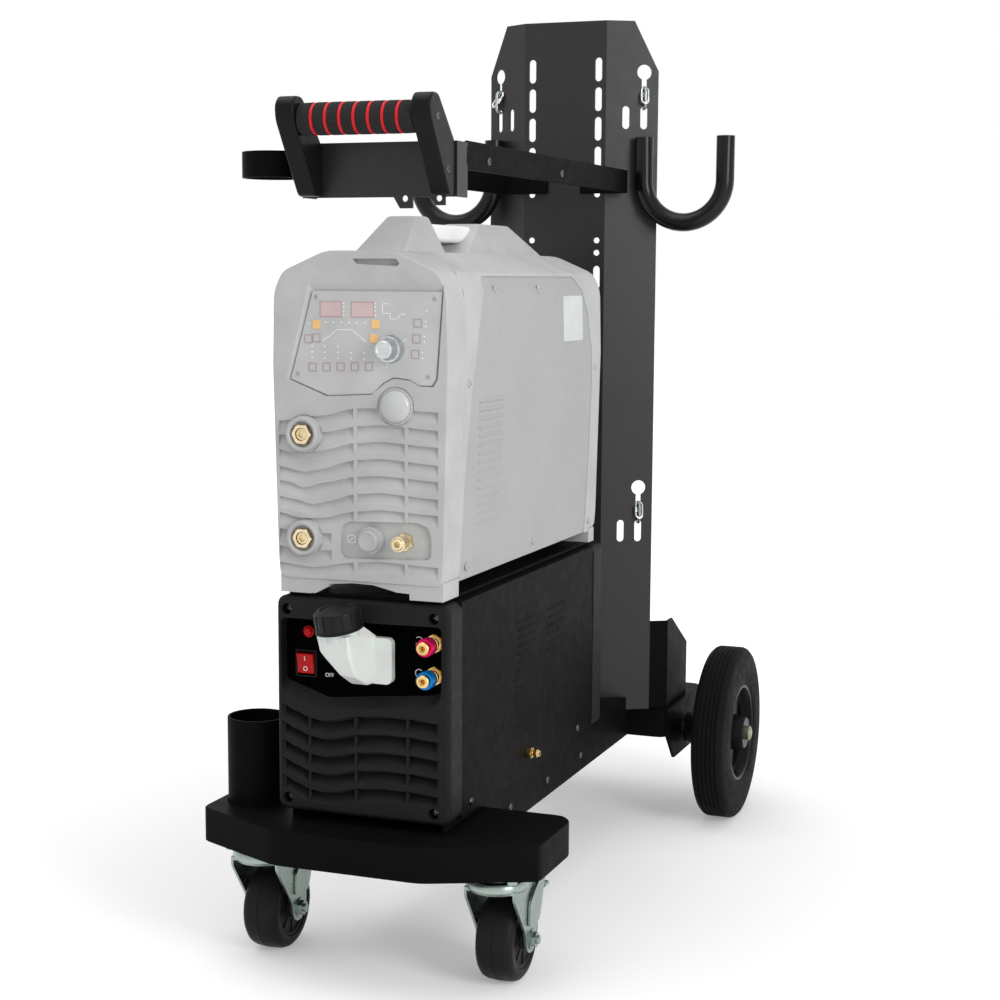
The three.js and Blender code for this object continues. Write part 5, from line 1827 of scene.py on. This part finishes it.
    def make_connectors(self):
        low, high = span("remote_socket")
        x, z = middle(low, high)
        cap = turned("y", [(high.y, 0), (high.y, 14.8), (low.y + 7.2, 14.8), (low.y + 6.6, 14.2),
                           (low.y + 6.4, 12.2), (low.y + 1.4, 11.6), (low.y + 0.4, 10.6),
                           (low.y, 9.2), (low.y + 0.6, 8.4), (low.y + 0.6, 0)], x, z, 64)
        for i in range(20):
            turn = Matrix.Rotation(2 * PI * i / 20, 4, "Y")
            place = Matrix.Translation((x, low.y + 3.8, z)) @ turn @ Matrix.Translation((11.8, 0, 0))
            add_block(cap, place, (0.8, 4.4, 1.1))
        remade(cap, "remote_socket", pale_ring(), smooth=40)
        low, high = span("gas_outlet")
        x, z = middle(low, high)
        outlet = bmesh.new()
        add_nuts(outlet, [(x, high.y, z)], (0, -1, 0), 10.0, 0.58, roll=0.2)
        profile = [(high.y - 5, 0), (high.y - 5, 8.4), (high.y - 9, 8.4), (high.y - 9.4, 6.8)]
        for i in range(3):
            at = high.y - 10.4 - i * 4
            profile += [(at, 6.8), (at - 0.4, 8.3), (at - 2.4, 8.3), (at - 2.8, 6.8)]
        profile += [(low.y + 1, 6.6), (low.y, 5.8), (low.y, 3.6), (low.y + 7, 3.4), (low.y + 7, 0)]
        add_turned(outlet, "y", profile, x, z, 48)
        remade(outlet, "gas_outlet", socket_brass(), smooth=35)
        lines = [[(-16, 506), (-7, 506), (-7, 498), (-16, 498), (-16, 506)], [(-15, 499), (-8, 505)]]
        lines += arrow(arc(75, 501, 3.8, 100, 400), 2.2)
        flat_mark("connector_marks", lines, 0.8, 0.0)

    def make_badge(self):
        low, high = span("welder_dome")
        x, z = middle(low, high)
        dome = bmesh.new()
        radius, tall = 17.6, high.y - low.y
        profile = [(high.y, 0), (high.y, radius + 1.6), (high.y - 1.2, radius + 1.6),
                   (high.y - 1.6, radius + 0.8), (high.y - 0.8, radius + 0.2)]
        for i in range(1, 10):
            a = PI / 2 * i / 10
            profile.append((high.y - 0.8 - (tall - 0.8) * sin(a), radius * cos(a)))
        profile.append((low.y, 0))
        add_turned(dome, "y", profile, x, z, 72)
        remade(dome, "welder_dome", clear_dome(), smooth=50)


# ---- stage ---------------------------------------------------------------------------------------
FLOOR_SIZE = 30.0       # metres
# The floor's emission grows away from its middle, which leaves painted shade round the trolley: two
# distances in metres, then two strengths.
FLOOR_GLOW_AND_SHADE = (("From Min", 0.45), ("From Max", 1.8), ("To Min", 0.26), ("To Max", 0.62))
CAMERA_AT = (857.6, -1833.95, 786.1)
CAMERA_ANGLES = (20.72, 7.39, 0.32)     # turn, dip and roll, in degrees
CAMERA_SHIFT = (-0.0023, 0.0199)


class TROLLEY_OT_stage(bpy.types.Operator):
    """Pale floor, soft lamps, even surroundings and the camera"""
    bl_idname = "trolley.stage"
    bl_label = "Stage"

    def execute(self, context):
        look = context.scene.stage_look
        context.scene.view_settings.view_transform = "Standard"
        self.make_floor(look.floor)
        self.make_world(look.fill)
        self.make_lamps(look.key)
        self.make_camera(context.scene, look.lens)
        return {"FINISHED"}

    def seen(self, nodes, links):
        """1 where the camera, a mirror or glass looks straight at it."""
        path = nodes.new("ShaderNodeLightPath")
        total = path.outputs["Is Camera Ray"]
        for name in ("Is Glossy Ray", "Is Transmission Ray"):
            add = nodes.new("ShaderNodeMath")
            add.operation, add.use_clamp = "ADD", True
            links.new(total, add.inputs[0])
            links.new(path.outputs[name], add.inputs[1])
            total = add.outputs[0]
        return total

    def make_floor(self, base):
        bm = bmesh.new()
        bmesh.ops.create_grid(bm, x_segments=1, y_segments=1, size=FLOOR_SIZE)
        mesh = bpy.data.meshes.new("floor")
        bm.to_mesh(mesh)
        bm.free()
        floor = new_object("floor", mesh)
        material = bpy.data.materials.new("floor_paint")
        material.use_nodes = True
        nodes, links = material.node_tree.nodes, material.node_tree.links
        shader = nodes["Principled BSDF"]
        shader.inputs["Base Color"].default_value = (*base, 1)
        shader.inputs["Roughness"].default_value = 1
        shader.inputs["Specular IOR Level"].default_value = 0
        shader.inputs["Emission Color"].default_value = (1, 1, 1, 1)
        # The emission is weaker near the middle, a painted shade round the trolley.
        where = nodes.new("ShaderNodeTexCoord")
        away = nodes.new("ShaderNodeVectorMath")
        away.operation = "LENGTH"
        links.new(where.outputs["Object"], away.inputs[0])
        glow_and_shade = nodes.new("ShaderNodeMapRange")
        for socket, value in FLOOR_GLOW_AND_SHADE:
            glow_and_shade.inputs[socket].default_value = value
        links.new(away.outputs["Value"], glow_and_shade.inputs["Value"])
        lift_up = nodes.new("ShaderNodeMath")
        lift_up.operation = "MULTIPLY"
        links.new(glow_and_shade.outputs["Result"], lift_up.inputs[1])
        links.new(self.seen(nodes, links), lift_up.inputs[0])
        links.new(lift_up.outputs[0], shader.inputs["Emission Strength"])
        mesh.materials.append(material)

    def make_world(self, fill):
        world = bpy.data.worlds.new("studio")
        world.use_nodes = True
        nodes, links = world.node_tree.nodes, world.node_tree.links
        back = nodes["Background"]
        back.inputs["Color"].default_value = (1, 1, 1, 1)
        range_node = nodes.new("ShaderNodeMapRange")
        range_node.inputs["To Min"].default_value = fill
        range_node.inputs["To Max"].default_value = 1
        links.new(self.seen(nodes, links), range_node.inputs["Value"])
        links.new(range_node.outputs["Result"], back.inputs["Strength"])
        bpy.context.scene.world = world

    def make_lamps(self, key):
        # Name, place, aim, width, height and power.
        lamps = (("key", (2.7, -1.6, 1.5), (0, 0.1, 0.75), 1.2, 1.6, key),
                 ("overhead", (-0.5, -0.6, 3.0), (0, 0, 0.5), 2.2, 2.2, key * 0.55))
        for name, place, aim, wide, tall, power in lamps:
            light = bpy.data.lights.new(name, "AREA")
            light.shape, light.size, light.size_y, light.energy = "RECTANGLE", wide, tall, power
            lamp = new_object(name, light)
            lamp.location = place
            lamp.rotation_euler = (Vector(aim) - Vector(place)).to_track_quat("-Z", "Y").to_euler()

    def make_camera(self, scene, lens):
        turn, dip, roll = (radians(angle) for angle in CAMERA_ANGLES)
        ahead = Vector((-sin(turn) * cos(dip), cos(turn) * cos(dip), -sin(dip)))
        right = Vector((cos(turn), sin(turn), 0))
        up = right.cross(ahead)
        across = right * cos(roll) + up * sin(roll)
        upward = up * cos(roll) - right * sin(roll)
        data = bpy.data.cameras.new("camera")
        data.lens, data.sensor_width = lens, 36
        data.shift_x, data.shift_y = CAMERA_SHIFT
        camera = new_object("camera", data)
        axes = Matrix((across, upward, -ahead)).transposed().to_4x4()
        camera.matrix_world = Matrix.Translation(TO_FRAME @ Vector(CAMERA_AT)) @ axes
        scene.camera = camera


class TROLLEY_PT_maker(bpy.types.Panel):
    """Lists the trolley's pieces in the order they are made"""
    bl_idname = "TROLLEY_PT_maker"
    bl_label = "Welding trolley"
    bl_space_type = "VIEW_3D"
    bl_region_type = "UI"
    bl_category = "Trolley"

    def draw(self, context):
        column = self.layout.column()
        for settings_name, group in LOOKS:
            look = getattr(context.scene, settings_name)
            for field in group.__annotations__:
                column.prop(look, field)
        for maker in MAKERS:
            column.operator(maker.bl_idname)


LOOKS = (("trolley_look", TrolleySettings), ("cooler_look", CoolerSettings),
         ("welder_look", WelderSettings), ("stage_look", StageSettings))
MAKERS = (TROLLEY_OT_stage, TROLLEY_OT_deck, TROLLEY_OT_rod_holder, TROLLEY_OT_casters,
          TROLLEY_OT_rear_wheels, TROLLEY_OT_column, TROLLEY_OT_arms, TROLLEY_OT_push_handle,
          TROLLEY_OT_cooler_front, TROLLEY_OT_cooler_case, TROLLEY_OT_cooler_fittings,
          TROLLEY_OT_welder_front, TROLLEY_OT_welder_case, TROLLEY_OT_welder_controls)
CLASSES = tuple(group for _, group in LOOKS) + MAKERS + (TROLLEY_PT_maker,)


def register():
    for one in CLASSES:
        bpy.utils.register_class(one)
    for name, group in LOOKS:
        setattr(bpy.types.Scene, name, PointerProperty(type=group))


def unregister():
    for name, _ in LOOKS:
        delattr(bpy.types.Scene, name)
    for one in reversed(CLASSES):
        bpy.utils.unregister_class(one)


def main():
    register()
    for maker in MAKERS:
        group, name = maker.bl_idname.split(".")
        getattr(getattr(bpy.ops, group), name)()


if __name__ == "__main__":
    main()
